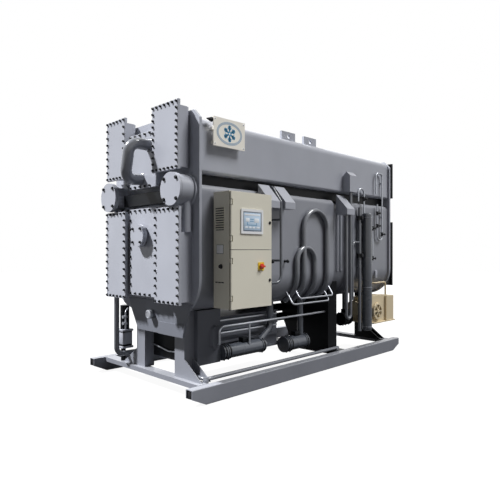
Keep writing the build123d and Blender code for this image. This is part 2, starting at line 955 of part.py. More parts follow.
# Equaliser loops on the lower shell front: inverted U pipes that follow the belly
with BuildPart() as loop_pipes:
    belly_z = lower_shell_bottom + lower_shell_belly
    belly_y = front + lower_shell_belly
    axis_y = front - clear - loop_pipe / 2
    axis_radius = belly_y - axis_y
    foot_y = belly_y - axis_radius * cos(radians(loop_wrap))
    foot_z = belly_z - axis_radius * sin(radians(loop_wrap))
    arc_y = belly_y - axis_radius * cos(radians(loop_wrap / 2))
    arc_z = belly_z - axis_radius * sin(radians(loop_wrap / 2))
    for left, right, top in (outer_loop, inner_loop):
        straight_top = top - (right - left) / 2
        with BuildLine(mode=Mode.PRIVATE) as path:
            ThreePointArc((left, foot_y, foot_z), (left, arc_y, arc_z), (left, axis_y, belly_z))
            Line((left, axis_y, belly_z), (left, axis_y, straight_top))
            ThreePointArc(
                (left, axis_y, straight_top),
                ((left + right) / 2, axis_y, top),
                (right, axis_y, straight_top),
            )
            Line((right, axis_y, straight_top), (right, axis_y, belly_z))
            ThreePointArc((right, axis_y, belly_z), (right, arc_y, arc_z), (right, foot_y, foot_z))
        with BuildSketch(Plane(path.line @ 0, z_dir=path.line % 0)) as section:
            Circle(loop_pipe / 2)
        sweep(sections=section.sketch, path=path.line)
save(loop_pipes, "loop_pipes")

# Riser pipes in the recess, the feed pipe beside the vessel and its hooked branch
box_low = upper_shell_bottom + box_lift
box_eaves = box_low + box_wall_height
with BuildPart() as riser_pipes:
    riser_y = front - riser_standoff
    tube(
        (
            (riser_left, riser_y, wedge_bottom),
            (riser_left, riser_y, riser_bottom),
            (riser_right, riser_y, riser_bottom),
            (riser_right, riser_y, box_low),
        ),
        riser_pipe,
        (riser_right - riser_left) / 2 - clear,
    )
    feed_y = front - feed_standoff
    tube(((feed_x, feed_y, feed_bottom), (feed_x, feed_y, lower_shell_top - feed_head)), feed_pipe, 0)
    tube(
        (
            (feed_x, feed_y, hook_top),
            (hook_x, feed_y, hook_top),
            (hook_x, feed_y, hook_bottom),
        ),
        hook_pipe,
        2 * hook_pipe,
    )
    for z in pipe_clips:
        block(around(feed_x, clip_width), (feed_y, front), (z, z + clip_width))
save(riser_pipes, "riser_pipes")

# Gabled junction box
with BuildPart() as junction_box:
    with BuildSketch(Plane.YZ.offset(box_left)):
        with BuildLine():
            Polyline(
                (front, box_low),
                (front - box_reach, box_low),
                (front - box_reach, box_eaves),
                (front - box_reach / 2, box_eaves + box_roof),
                (front, box_eaves),
                close=True,
            )
        make_face()
    extrude(amount=box_width)
save(junction_box, "junction_box")

with BuildPart() as conduit:
    conduit_y = front - conduit_standoff
    conduit_bottom = cabinet_bottom + conduit_lift
    conduit_top = (lower_shell_top + upper_shell_bottom) / 2
    tube(
        (
            (conduit_x, front + neck_inset, conduit_top),
            (conduit_x, front - conduit_size / 2, conduit_top),
            (conduit_x, conduit_y, wedge_bottom + wedge_lip),
            (conduit_x, conduit_y, conduit_bottom),
            (cabinet_right, conduit_y, conduit_bottom),
        ),
        conduit_size,
        [conduit_bend / 2, conduit_bend / 2, conduit_bend],
    )
    for z in conduit_clips:
        block(around(conduit_x, clip_width), (conduit_y, front), (z, z + clip_width))
save(conduit, "conduit")

# Purge vessel on two clamps
with BuildPart() as purge_vessel:
    vessel_y = front - vessel_standoff - vessel_size / 2
    rod(Plane.XY.offset(vessel_bottom), (vessel_x, vessel_y), vessel_size, vessel_top - vessel_bottom)
    fillet(edges().filter_by(GeomType.CIRCLE), vessel_size / 5)
    for z in vessel_clamps:
        block(around(vessel_x, clamp_width), (vessel_y, front), (z, z + clamp_height))
save(purge_vessel, "purge_vessel")

# Sample tubes: a loop on the vessel, a tall one beside it, and the level gauge
with BuildPart() as sample_tubes:
    sample_y = front - sample_standoff
    tube(
        (
            (vessel_x, sample_y, vessel_top),
            (vessel_x, sample_y, sample_top),
            (vessel_x - sample_pitch, sample_y, sample_top),
            (vessel_x - sample_pitch, sample_y, sample_end),
        ),
        sample_pipe,
        sample_pitch / 2 - clear,
    )
    tall_right = tall_left + tall_pitch
    tube(
        (
            (tall_left, sample_y, tall_end),
            (tall_left, sample_y, tall_top),
            (tall_right, sample_y, tall_top),
            (tall_right, sample_y, tall_bottom),
            (tall_left + tall_return, sample_y, tall_bottom),
            (tall_left + tall_return, sample_y, tall_end - sample_pitch),
        ),
        sample_pipe,
        tall_bend,
    )
    for z in sample_clips:
        block(around(tall_right, clip_width), (sample_y, front), (z, z + clip_width))
    gauge_y = front - gauge_standoff
    rod(Plane.XY.offset(gauge_bottom), (gauge_x, gauge_y), gauge_pipe, gauge_top - gauge_bottom)
    for z in gauge_cocks:
        rod(Plane.XZ.offset(-gauge_y), (gauge_x, z), gauge_pipe, -gauge_standoff)
        rod(Plane.YZ.offset(gauge_x - gauge_pipe), (gauge_y, z), gauge_pipe, 3 * gauge_pipe)
save(sample_tubes, "sample_tubes")

# Balance tubes that loop below the belly, and the outer runs of the heat exchanger
body_front = exchanger_y + exchanger_step
with BuildPart() as balance_tubes:
    for left, right, low, out in balance_loops:
        tube(
            (
                (left, front + balance_inset, low + balance_rise),
                (left, front - out, low),
                (right, front - out, low),
                (right, front + balance_inset, low + balance_rise),
            ),
            balance_pipe,
            balance_bend,
        )
    trim_to_belly(0)
    run_y = exchanger_y + run_standoff
    for z in run_heights:
        tube(
            (
                (exchanger_shoulder, run_y, z),
                (exchanger_right - run_bend, run_y, z),
                (exchanger_right - run_bend, body_front, z),
            ),
            run_pipe,
            run_pipe,
        )
    tube(
        (
            (outer_run_x, exchanger_y - capsule_depth, outer_run_drop),
            (outer_run_x, outer_run_y, outer_run_drop),
            (outer_run_x, outer_run_y, outer_run_z),
            (support_x, outer_run_y, outer_run_z),
        ),
        run_pipe,
        [run_pipe, run_bend],
    )
    branch_low = solution_pump_z + solution_pump_size / 4
    rod(Plane.XY.offset(branch_low), (branch_x, outer_run_y), branch_pipe, outer_run_z - branch_low)
    for name, start, length, z, size in pumps:
        rod(Plane.YZ.offset(start), (pump_y, z), size + 2 * clear, length, Mode.SUBTRACT)
save(balance_tubes, "balance_tubes")

# Solution heat exchanger under the shells: head with a capsule-shaped door and a
# ribbed body behind its outer runs
with BuildPart() as heat_exchanger:
    exchanger_far = mid_y + exchanger_back
    block(
        (exchanger_left, exchanger_shoulder),
        (exchanger_y, exchanger_far),
        (exchanger_low, lower_shell_bottom),
    )
    with BuildSketch(Plane.XZ.offset(-exchanger_y)):
        with Locations((exchanger_shoulder - capsule_inset, capsule_z)):
            RectangleRounded(capsule_size, capsule_height, capsule_size / 2 - clear)
    extrude(amount=capsule_depth, taper=capsule_draft)
    block(
        (exchanger_shoulder, exchanger_right),
        (body_front, exchanger_far),
        (exchanger_body_low, exchanger_body_high),
    )
    rib_pitch = (exchanger_body_high - exchanger_body_low - rib_height) / (exchanger_ribs - 1)
    for rib in range(exchanger_ribs):
        rib_z = exchanger_body_low + rib * rib_pitch
        block(
            (exchanger_shoulder, exchanger_right),
            (body_front - rib_depth, body_front),
            (rib_z, rib_z + rib_height),
        )
save(heat_exchanger, "heat_exchanger")

# Canned pumps: a body with clamp rings and a small cap on its far end
for name, start, length, z, size in pumps:
    with BuildPart() as pump:
        body_length = length - pump_cap
        rod(Plane.YZ.offset(start), (pump_y, z), size * pump_body_share, body_length)
        for ring_x in (start, start + pump_ring + pump_groove, start + body_length - pump_ring):
            rod(Plane.YZ.offset(ring_x), (pump_y, z), size, pump_ring)
        rod(Plane.YZ.offset(start + body_length), (pump_y, z), size * pump_cap_share, pump_cap)
    save(pump, name)

# Suction pipes from the shell's belly down to each pump
with BuildPart() as suction_pipes:
    tube(
        (
            (suction_x, pump_y, suction_top),
            (suction_x, pump_y, suction_knee),
            (suction_x - suction_reach, pump_y, solution_pump_z),
        ),
        suction_pipe,
        suction_bend,
    )
    for x, z in ((refrigerant_suction_x, refrigerant_pump_z), (purge_suction_x, purge_pump_z)):
        tube(((x, pump_y, suction_top), (x, pump_y, z)), suction_pipe, 0)
    trim_to_belly(0)
    for name, start, length, z, size in pumps:
        rod(Plane.YZ.offset(start), (pump_y, z), size + 2 * clear, length, Mode.SUBTRACT)
    rod(
        Plane.YZ.offset(exchanger_shoulder),
        (outer_run_y, outer_run_z),
        run_pipe + 2 * clear,
        support_x - exchanger_shoulder,
        Mode.SUBTRACT,
    )
save(suction_pipes, "suction_pipes")

# Middle support: a web with a front flange, a sloped far edge and its cross beam
with BuildPart() as middle_support:
    support_front = mid_y - support_near
    support_high = lower_shell_top / 2
    support_span = (support_x, support_x + support_width)
    block(support_span, (-inner_edge, inner_edge), cross_beam_span)
    block(support_span, (support_front, support_front + support_plate), (beam_height, support_high))
    with BuildSketch(Plane.YZ.offset(support_x)):
        with BuildLine():
            Polyline(
                (support_front, beam_height),
                (mid_y + taper_edge[0][0], beam_height),
                *[(mid_y + offset, z) for offset, z in taper_edge],
                (mid_y + taper_edge[-1][0], support_high),
                (support_front, support_high),
                close=True,
            )
        make_face()
    extrude(amount=support_plate)
    trim_to_belly(recess_depth)
save(middle_support, "middle_support")

# Vacuum pump on its shelf: housing with its crankcase, axle and suction line
with BuildPart() as vacuum_pump:
    block((shelf_left, shelf_right), (shelf_front, shelf_back), (shelf_z, shelf_top))
    housing_y = (housing_front, housing_front + housing_depth)
    block((housing_left, housing_right), housing_y, (shelf_top, shelf_top + housing_height))
    crank_top = shelf_top + housing_height - crank_drop
    block(
        (housing_right, shelf_right - crank_inset),
        inside(housing_y, -crank_inset, 0),
        (shelf_top, crank_top),
    )
    axle_length = wheel_gap + wheel_plate + axle_end
    rod(Plane.XZ.offset(-housing_front), (wheel_x, wheel_z), axle_size, axle_length)
    line_y = front - vacuum_line_standoff
    tube(
        (
            (vacuum_line_x, line_y, crank_top),
            (vacuum_line_x, line_y, vacuum_line_z),
            (vacuum_line_left, line_y, vacuum_line_z),
            (vacuum_line_left, front + neck_inset, vacuum_line_z),
        ),
        vacuum_line,
        vacuum_line_standoff,
    )
    trim_to_belly(0)
save(vacuum_pump, "vacuum_pump")

with BuildPart() as belt_wheel:
    with BuildSketch(Plane.XZ.offset(-housing_front + wheel_gap)):
        with Locations((wheel_x, wheel_z)):
            Circle(wheel_size / 2)
            Circle(wheel_size / 2 - wheel_rim, mode=Mode.SUBTRACT)
            Circle(wheel_hub / 2)
            with PolarLocations(0, wheel_spokes):
                with Locations((wheel_size / 4, 0)):
                    Rectangle(wheel_size / 2 - wheel_rim, wheel_spoke)
            Circle(axle_size / 2 + clear, mode=Mode.SUBTRACT)
    extrude(amount=wheel_plate)
    fillet(edges().filter_by(GeomType.CIRCLE).group_by(SortBy.RADIUS)[-1], wheel_edge)
save(belt_wheel, "belt_wheel")

# Pump motor: a finned drum on a foot
with BuildPart() as vacuum_motor:
    motor_left = shelf_left + motor_inset
    motor_z = shelf_z + motor_lift
    rod(Plane.YZ.offset(motor_left), (motor_y, motor_z), motor_size, motor_length)
    fin_pitch = (motor_length - fin_width) / (motor_fins - 1)
    for fin in range(motor_fins):
        fin_x = motor_left + fin * fin_pitch
        rod(Plane.YZ.offset(fin_x), (motor_y, motor_z), motor_size + 2 * fin_height, fin_width)
    block(
        inside((motor_left, motor_left + motor_length), motor_foot_inset, motor_foot_inset),
        around(motor_y, motor_foot),
        (shelf_top, motor_z),
    )
save(vacuum_motor, "vacuum_motor")

# Pipes low on the skid and at the far side of the nozzle end
with BuildPart() as skid_pipe:
    pipe_y = -inner_edge + skid_pipe_inset
    pipe_z = beam_height + skid_pipe_size / 2
    tube(
        (
            (skid_pipe_start - cross_beam_x, pipe_y + skid_pipe_turn, pipe_z),
            (skid_pipe_start - cross_beam_x, pipe_y, pipe_z),
            (support_x + support_width / 2, pipe_y, pipe_z),
        ),
        skid_pipe_size,
        skid_pipe_start,
    )
save(skid_pipe, "skid_pipe")

with BuildPart() as drain_pipe:
    drain_x = -sheet_x - side_box_depth / 2
    drain_y = mid_y + drain_offset
    tube(
        (
            (drain_x, drain_y, lower_side[0] + cover_rim),
            (drain_x, drain_y, drain_low),
            (drain_x + drain_run, drain_y, drain_low),
        ),
        drain_size,
        drain_bend,
    )
save(drain_pipe, "drain_pipe")

# Far circulating pump on its foot: a square pump body under an upright motor
with BuildPart() as far_pump:
    block(
        around(-cross_beam_x, far_pump_size),
        around(far_motor_y, far_pump_size),
        (far_pump_low, far_pump_high),
    )
    foot_place = (-cross_beam_x, far_motor_y + far_foot_offset)
    rod(Plane.XY.offset(beam_height), foot_place, far_pump_foot, far_pump_low - beam_height)
    motor_place = (-cross_beam_x, far_motor_y)
    rod(Plane.XY.offset(far_pump_high), motor_place, far_motor_size, far_motor_top - far_pump_high)
save(far_pump, "far_pump")
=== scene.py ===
import json
from math import cos, pi, radians, sin, tan

import bmesh
import bpy
from mathutils import Matrix, Vector


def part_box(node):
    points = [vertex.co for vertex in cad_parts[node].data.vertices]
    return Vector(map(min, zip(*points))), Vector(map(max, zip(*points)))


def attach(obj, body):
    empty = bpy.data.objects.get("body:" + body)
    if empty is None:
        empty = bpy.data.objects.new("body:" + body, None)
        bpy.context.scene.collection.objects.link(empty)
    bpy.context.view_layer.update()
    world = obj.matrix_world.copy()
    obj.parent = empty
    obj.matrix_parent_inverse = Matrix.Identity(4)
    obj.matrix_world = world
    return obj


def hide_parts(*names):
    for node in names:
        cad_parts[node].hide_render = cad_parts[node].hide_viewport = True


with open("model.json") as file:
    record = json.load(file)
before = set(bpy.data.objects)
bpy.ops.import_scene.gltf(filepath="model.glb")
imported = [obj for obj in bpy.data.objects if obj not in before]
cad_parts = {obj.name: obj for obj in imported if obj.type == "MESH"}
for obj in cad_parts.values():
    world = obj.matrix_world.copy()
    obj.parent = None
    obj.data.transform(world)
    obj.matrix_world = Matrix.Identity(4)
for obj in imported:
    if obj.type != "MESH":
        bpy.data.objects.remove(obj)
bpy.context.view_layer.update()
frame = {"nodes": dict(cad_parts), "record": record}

# The camera stands level at eye height, 45 degrees off the skid's length
EYE_FROM_SKID = Vector((-5.035, -4.828, 1.561))
LENS = 35.06
SENSOR = 36
near_low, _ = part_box("skid_beam_near")
_, far_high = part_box("skid_beam_far")
skid_middle = Vector(((near_low.x + far_high.x) / 2, (near_low.y + far_high.y) / 2, 0))

camera_data = bpy.data.cameras.new("camera")
camera_data.lens = LENS
camera_data.sensor_width = SENSOR
camera = bpy.data.objects.new("camera", camera_data)
camera.location = skid_middle + EYE_FROM_SKID
camera.rotation_euler = (pi / 2, 0, -pi / 4)
bpy.context.collection.objects.link(camera)
bpy.context.scene.camera = camera

# Directions in the model's frame: the nozzles look left and the cabinet looks to the front
LEFT = (-1, 0, 0)
RIGHT = (1, 0, 0)
FRONT = (0, -1, 0)
BACK = (0, 1, 0)
UP = (0, 0, 1)
DOWN = (0, 0, -1)

# Materials
COAT_ROUGHNESS = 0.12
CLOUD_SCALE = 2.2
CLOUD_DETAIL = 6
PEEL_SCALE = 260
PEEL_DETAIL = 3
PEEL_DEPTH = 0.0004
TONE_ENDS = (0.3, 0.7)
GLOSS_ENDS = (-0.06, 0.08)
# Pale tone on upward faces: partly dust, partly painted light on the tops
DUST_AND_TOP_LIGHT = (0.82, 0.83, 0.84, 1)
DUST_AND_TOP_LIGHT_SLOPES = (0.25, 0.95)


def noise(tree, place, scale, detail):
    """Adds a noise over the object's own space."""
    made = tree.nodes.new("ShaderNodeTexNoise")
    made.inputs["Scale"].default_value = scale
    made.inputs["Detail"].default_value = detail
    tree.links.new(place.outputs["Object"], made.inputs["Vector"])
    return made.outputs["Fac"]


def settle_dust_and_top_light(nodes, links, colour, target, amount):
    """Mixes a pale tone into a colour where the surface looks upwards: partly dust, partly painted light on
    the tops.
    """
    geometry = nodes.new("ShaderNodeNewGeometry")
    axes = nodes.new("ShaderNodeSeparateXYZ")
    links.new(geometry.outputs["Normal"], axes.inputs["Vector"])
    lying = nodes.new("ShaderNodeMapRange")
    lying.inputs["From Min"].default_value = DUST_AND_TOP_LIGHT_SLOPES[0]
    lying.inputs["From Max"].default_value = DUST_AND_TOP_LIGHT_SLOPES[1]
    lying.inputs["To Max"].default_value = amount
    links.new(axes.outputs["Z"], lying.inputs["Value"])
    mix = nodes.new("ShaderNodeMix")
    mix.data_type = "RGBA"
    mix.inputs["B"].default_value = DUST_AND_TOP_LIGHT
    links.new(lying.outputs["Result"], mix.inputs["Factor"])
    links.new(colour, mix.inputs["A"])
    links.new(mix.outputs["Result"], target)


def painted(
    name, colour, roughness=0.42, spread=0.05, peel=0.15, metallic=0.0, dust_and_top_light=0.0, coat=0.0, specular=0.5
):
    """Gives a sprayed paint: cloudy tone, a fine orange peel, uneven gloss and a pale tone on top that is
    partly dust and partly painted top light.
    """
    material = bpy.data.materials.new(name)
    material.use_nodes = True
    nodes, links = material.node_tree.nodes, material.node_tree.links
    shader = nodes["Principled BSDF"]
    shader.inputs["Metallic"].default_value = metallic
    shader.inputs["Coat Weight"].default_value = coat
    shader.inputs["Coat Roughness"].default_value = COAT_ROUGHNESS
    shader.inputs["Specular IOR Level"].default_value = specular
    place = nodes.new("ShaderNodeTexCoord")
    cloud = noise(material.node_tree, place, CLOUD_SCALE, CLOUD_DETAIL)
    fine = noise(material.node_tree, place, PEEL_SCALE, PEEL_DETAIL)
    tone = nodes.new("ShaderNodeValToRGB")
    for index, share in enumerate((1 - spread, 1 + spread)):
        tone.color_ramp.elements[index].position = TONE_ENDS[index]
        tone.color_ramp.elements[index].color = (*[min(part * share, 1) for part in colour], 1)
    links.new(cloud, tone.inputs["Fac"])
    links.new(tone.outputs["Color"], shader.inputs["Base Color"])
    if dust_and_top_light:
        settle_dust_and_top_light(nodes, links, tone.outputs["Color"], shader.inputs["Base Color"], dust_and_top_light)
    gloss = nodes.new("ShaderNodeMapRange")
    gloss.inputs["To Min"].default_value = roughness + GLOSS_ENDS[0]
    gloss.inputs["To Max"].default_value = roughness + GLOSS_ENDS[1]
    links.new(cloud, gloss.inputs["Value"])
    links.new(gloss.outputs["Result"], shader.inputs["Roughness"])
    bump = nodes.new("ShaderNodeBump")
    bump.inputs["Strength"].default_value = peel
    bump.inputs["Distance"].default_value = PEEL_DEPTH
    links.new(fine, bump.inputs["Height"])
    links.new(bump.outputs["Normal"], shader.inputs["Normal"])
    return material


BLUE_GREY = painted("blue_grey_paint", (0.385, 0.40, 0.45), 0.34, coat=0.2, specular=0.25, dust_and_top_light=0.12)
# Darker paint for the lower shell: painted shade on its wall
SHELL_PAINTED_SHADE = painted("shell_painted_shade", (0.25, 0.26, 0.295), 0.32, coat=0.3, specular=0.3, dust_and_top_light=0.2)
# Darker paint for the legs, cross beams and skid beams: painted shade on the low parts that get less light
SKID_PAINTED_SHADE = painted("skid_painted_shade", (0.24, 0.25, 0.285), 0.32, coat=0.3, specular=0.3, dust_and_top_light=0.15)
PIPE_GREY = painted("pipe_paint", (0.17, 0.18, 0.205), 0.24, coat=0.6)
PUMP_GREY = painted("pump_paint", (0.085, 0.095, 0.115), 0.26, coat=0.5)
# Dark grey paint; on the sump box it is painted shade from the water boxes above it
DARK_GREY_AND_SUMP_SHADE = painted("dark_grey_and_sump_painted_shade", (0.17, 0.18, 0.21), 0.40, coat=0.1, specular=0.2)
BLACK = painted("black_paint", (0.007, 0.008, 0.010), 0.34, specular=0.15)
BEIGE = painted("beige_paint", (0.76, 0.73, 0.62), 0.5, 0.02, 0.3, specular=0.2)
CREAM = painted("cream_paint", (0.70, 0.59, 0.40), 0.45)
STEEL = painted("drawn_steel", (0.45, 0.47, 0.51), 0.3, 0.08, 0.1, metallic=0.6)
YELLOW = painted("yellow_plastic", (0.85, 0.60, 0.03), 0.3, 0.03, 0.05)
RED = painted("red_plastic", (0.72, 0.04, 0.02), 0.28, 0.03, 0.05)
BOLT = painted("black_bolt", (0.010, 0.011, 0.014), 0.35, 0.1, 0.1, specular=0.25)
RUBBER = painted("black_rubber", (0.012, 0.012, 0.014), 0.6, specular=0.2)
BOARD = painted("board_paint", (0.92, 0.885, 0.80), 0.4, 0.02, 0.1)
RING_BLUE = painted("ring_blue", (0.42, 0.50, 0.58), 0.4, 0.04)
MOTIF_BLUE = painted("motif_blue", (0.05, 0.27, 0.48), 0.4, 0.06)
SCREEN_FRAME = painted("screen_frame", (0.86, 0.87, 0.88), 0.35, 0.02, 0.1)
SCREEN_GREY = painted("screen_surround", (0.22, 0.27, 0.34), 0.25, 0.03, 0.05)
SCREEN_PAGE = painted("screen_page", (0.55, 0.70, 0.86), 0.15, 0.02, 0.02)
SCREEN_TILE = painted("screen_tile", (0.86, 0.90, 0.94), 0.15, 0.01, 0.02)

# The paint of each slot, and of the nodes whose paint differs from their slot's usual paint; on the lower
# shell, legs, beams and purge vessel the darker paint is painted shade
FINISHES = {
    "painted_blue_grey": BLUE_GREY,
    "painted_dark_grey": DARK_GREY_AND_SUMP_SHADE,
    "painted_black": BLACK,
    "painted_beige": BEIGE,
    "painted_cream": CREAM,
    "bright_pipe": STEEL,
    "yellow_plastic": YELLOW,
    "red_plastic": RED,
    "sign_panel": BOARD,
    "screen_bezel": SCREEN_FRAME,
}
NODE_PAINTS_AND_PAINTED_SHADE = {
    "lower_shell": SHELL_PAINTED_SHADE,
    "legs_left": SKID_PAINTED_SHADE,
    "cross_beams": SKID_PAINTED_SHADE,
    "skid_beam_near": SKID_PAINTED_SHADE,
    "skid_beam_far": SKID_PAINTED_SHADE,
    "return_bend": PIPE_GREY,
    "loop_pipes": PIPE_GREY,
    "riser_pipes": PIPE_GREY,
    "drain_pipe": PIPE_GREY,
    # The purge vessel takes the dark pump paint as painted shade
    "purge_vessel": PUMP_GREY,
    "solution_pump": PUMP_GREY,
    "refrigerant_pump": PUMP_GREY,
    "suction_pipes": PUMP_GREY,
    "conduit": PUMP_GREY,
}
for part in frame["record"]["subparts"]:
    node = frame["nodes"][part["node"]]
    node.data.materials.clear()
    node.data.materials.append(NODE_PAINTS_AND_PAINTED_SHADE.get(part["node"], FINISHES[part["material_slot"]]))

# Shapes
SHARP_ANGLE = radians(38)
EDGE_SHARE = 0.45
SAME_SPOT = 1e-5


def piece(name, body, material, make):
    """Builds a mesh with make(bm) and rides it on a body."""
    bm = bmesh.new()
    make(bm)
    bmesh.ops.recalc_face_normals(bm, faces=bm.faces)
    mesh = bpy.data.meshes.new(name)
    bm.to_mesh(mesh)
    bm.free()
    for polygon in mesh.polygons:
        polygon.use_smooth = True
    mesh.set_sharp_from_angle(angle=SHARP_ANGLE)
    mesh.materials.append(material)
    made = bpy.data.objects.new(name, mesh)
    bpy.context.collection.objects.link(made)
    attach(made, body)
    return made


def facing(point, direction):
    """Gives the place at a point whose local Z looks in a direction."""
    turn = Vector(direction).to_track_quat("Z", "Y")
    return Matrix.Translation(point) @ turn.to_matrix().to_4x4()


def at_skid(x, y, z):
    """Gives a point of the skid's own frame in the model's frame."""
    return skid_middle + Vector((x, y, z))


def middle_of(low, high):
    return (low + high) / 2


def lathe(bm, place, profile, sides=24):
    """Turns a profile of (radius, height) pairs round the place's Z into a closed form."""
    angles = [2 * pi * side / sides for side in range(sides)]
    rings = []
    for radius, height in profile:
        spots = [(radius * cos(a), radius * sin(a), height) for a in angles] if radius else [(0, 0, height)]
        rings.append([bm.verts.new(place @ Vector(spot)) for spot in spots])
    for low, high in zip(rings, rings[1:]):
        for side in range(sides):
            after = (side + 1) % sides
            corners = ((low, side), (low, after), (high, after), (high, side))
            unique = list(dict.fromkeys(ring[spot % len(ring)] for ring, spot in corners))
            if len(unique) > 2:
                bm.faces.new(unique)
    for ring in (rings[0], rings[-1]):
        if len(ring) > 1:
            bm.faces.new(ring)


def slab(bm, low, high, edge):
    """Adds a box between two corners with its edges rounded over."""
    low, high = Vector(low), Vector(high)
    size = high - low
    place = Matrix.Translation(middle_of(low, high)) @ Matrix.Diagonal((*size, 1))
    made = bmesh.ops.create_cube(bm, size=1, matrix=place)
    edges = {one for vert in made["verts"] for one in vert.link_edges}
    limit = min(edge, EDGE_SHARE * min(size))
    bmesh.ops.bevel(bm, geom=list(edges), offset=limit, segments=2, affect="EDGES", profile=0.5)


def rounded(points, radius, steps=6):
    """Gives a route with each inner corner replaced by an arc."""
    points = [Vector(point) for point in points]
    route = [points[0]]
    for before, corner, after in zip(points, points[1:], points[2:]):
        back, on = (before - corner).normalized(), (after - corner).normalized()
        half = back.angle(on) / 2
        reach = radius / tan(half)
        centre = corner + (back + on).normalized() * (radius / sin(half))
        start, stop = (corner + leg * reach - centre for leg in (back, on))
        for step in range(steps + 1):
            route.append(centre + start.slerp(stop, step / steps).normalized() * radius)
    return route + [points[-1]]


def pipe(bm, route, size, sides):
    """Adds a round pipe along a route, closed at both ends."""
    angles = [2 * pi * turn / sides for turn in range(sides)]
    rings = []
    side = None
    for index, point in enumerate(route):
        ahead = route[min(index + 1, len(route) - 1)] - route[max(index - 1, 0)]
        ahead.normalize()
        if side is None:
            side = ahead.orthogonal().normalized()
        side = (side - ahead * side.dot(ahead)).normalized()
        other = ahead.cross(side)
        rings.append([bm.verts.new(point + (side * cos(a) + other * sin(a)) * size / 2) for a in angles])
    for low, high in zip(rings, rings[1:]):
        for turn in range(sides):
            after = (turn + 1) % sides
            bm.faces.new((low[turn], low[after], high[after], high[turn]))
    bm.faces.new(rings[0])
    bm.faces.new(rings[-1])


def islands(name):
    """Gives the (low, high) corners of each separate solid in a node, in Y order."""
    bm = bmesh.new()
    bm.from_mesh(frame["nodes"][name].data)
    bmesh.ops.remove_doubles(bm, verts=bm.verts, dist=SAME_SPOT)
    left = set(bm.verts)
    boxes = []
    while left:
        group, queue = set(), [left.pop()]
        while queue:
            vert = queue.pop()
            group.add(vert)
            for link in vert.link_edges:
                other = link.other_vert(vert)
                if other in left:
                    left.discard(other)
                    queue.append(other)
        spans = [[vert.co[axis] for vert in group] for axis in range(3)]
        boxes.append((Vector([min(span) for span in spans]), Vector([max(span) for span in spans])))
    bm.free()
    return sorted(boxes, key=lambda box: (round(box[0].y, 3), box[0].x))


# Bolts: a washer and a head, with radii in shares of the head's width across its flats
BOLT_SIZE = 0.022
BOLT_INSET = 0.021
WASHER = ((0.66, -0.002), (0.66, 0.003), (0.60, 0.004))
HEAD = ((0.577, 0.003), (0.577, 0.015), (0.4616, 0.018))


def sized(profile, size):
    """Gives a profile whose radii are shares of a size."""
    return [(size * share, height) for share, height in profile]


def bolt(bm, point, direction, size=BOLT_SIZE):
    """Adds a washer and a hex head with a turned crown."""
    place = facing(point, direction)
    lathe(bm, place, sized(WASHER, size), 16)
    lathe(bm, place, sized(HEAD, size), 6)


def spread(low, high, count):
    """Gives evenly spaced places from one end to the other."""
    return [low + (high - low) * index / (count - 1) for index in range(count)]


def rim_places(low, high, down, across):
    """Gives (y, z) places of bolts round the rim of a rectangle."""
    sides = spread(low.z + BOLT_INSET, high.z - BOLT_INSET, down)
    ends = spread(low.y + BOLT_INSET, high.y - BOLT_INSET, across)
    places = [(y, z) for y in (ends[0], ends[-1]) for z in sides]
    return places + [(y, z) for y in ends[1:-1] for z in (sides[0], sides[-1])]


# Bolts down and across on the near, centre and far cover of each level
COVER_BOLTS = {
    "covers_lower": ((13, 6), (10, 6), (13, 6)),
    "covers_upper": ((11, 7), (7, 6), (9, 6)),
}
CENTRE = 1
covers = {name: islands(name) for name in COVER_BOLTS}


def cover_bolts(name):
    """Gives a maker of one level's bolts, without those that the near cover hides on the centre one."""

    def make(bm):
        for index, ((low, high), (down, across)) in enumerate(zip(covers[name], COVER_BOLTS[name])):
            hidden = low.y + 2 * BOLT_INSET if index == CENTRE else low.y
            for y, z in rim_places(low, high, down, across):
                if y > hidden:
                    bolt(bm, (low.x, y, z), LEFT)

    return make


for level_name in COVER_BOLTS:
    piece(f"{level_name}_bolts", "chiller", BOLT, cover_bolts(level_name))

END_BOLTS = {"end_box_lower": (11, 15), "end_box_upper": (7, 15)}


def end_bolts(bm):
    for node_name, (down, across) in END_BOLTS.items():
        low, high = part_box(node_name)
        for y, z in rim_places(low, high, down, across):
            bolt(bm, (high.x, y, z), RIGHT)


piece("end_box_bolts", "chiller", BOLT, end_bolts)

# Nozzle bolts: heads in front, and nuts behind where no sleeve hides them
NOZZLE_PLATES = 0.055
COLLAR = 0.350
# From a nozzle's top down to its axis, the radius of the bolt circle and the size of the bolts
LARGE_BOLTS = (COLLAR / 2, 0.1475, 0.030)
SMALL_BOLTS = (0.125, 0.105, 0.024)
NOZZLES = {"nozzle_near": LARGE_BOLTS, "nozzle_far": LARGE_BOLTS, "nozzle_centre": SMALL_BOLTS}


def nozzle_bolts(bm):
    for node_name, (reach, radius, size) in NOZZLES.items():
        low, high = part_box(node_name)
        middle = Vector((low.x, middle_of(low.y, high.y), high.z - reach))
        for turn in range(4):
            angle = pi / 4 + turn * pi / 2
            at = middle + Vector((0, cos(angle), sin(angle))) * radius
            bolt(bm, at, LEFT, size)
            if node_name != "nozzle_near":
                bolt(bm, at + Vector((NOZZLE_PLATES, 0, 0)), RIGHT, size)


piece("nozzle_bolts", "chiller", BOLT, nozzle_bolts)

# Cabinet: louvres, slots, a bare plate and glands on its left side, a rain lip and the doors' seal
cabinet_low, cabinet_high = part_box("cabinet_body")
lower_low, lower_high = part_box("cabinet_door_lower")
upper_low, upper_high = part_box("cabinet_door_upper")
DOOR_GAP = 0.006
side_x = cabinet_low.x
side_front = lower_high.y + DOOR_GAP

LOUVRE_SPAN = (0.076, 0.206)
LOUVRE_TOP = 0.165
LOUVRE_PITCH = 0.0245
LOUVRE_COUNT = 10
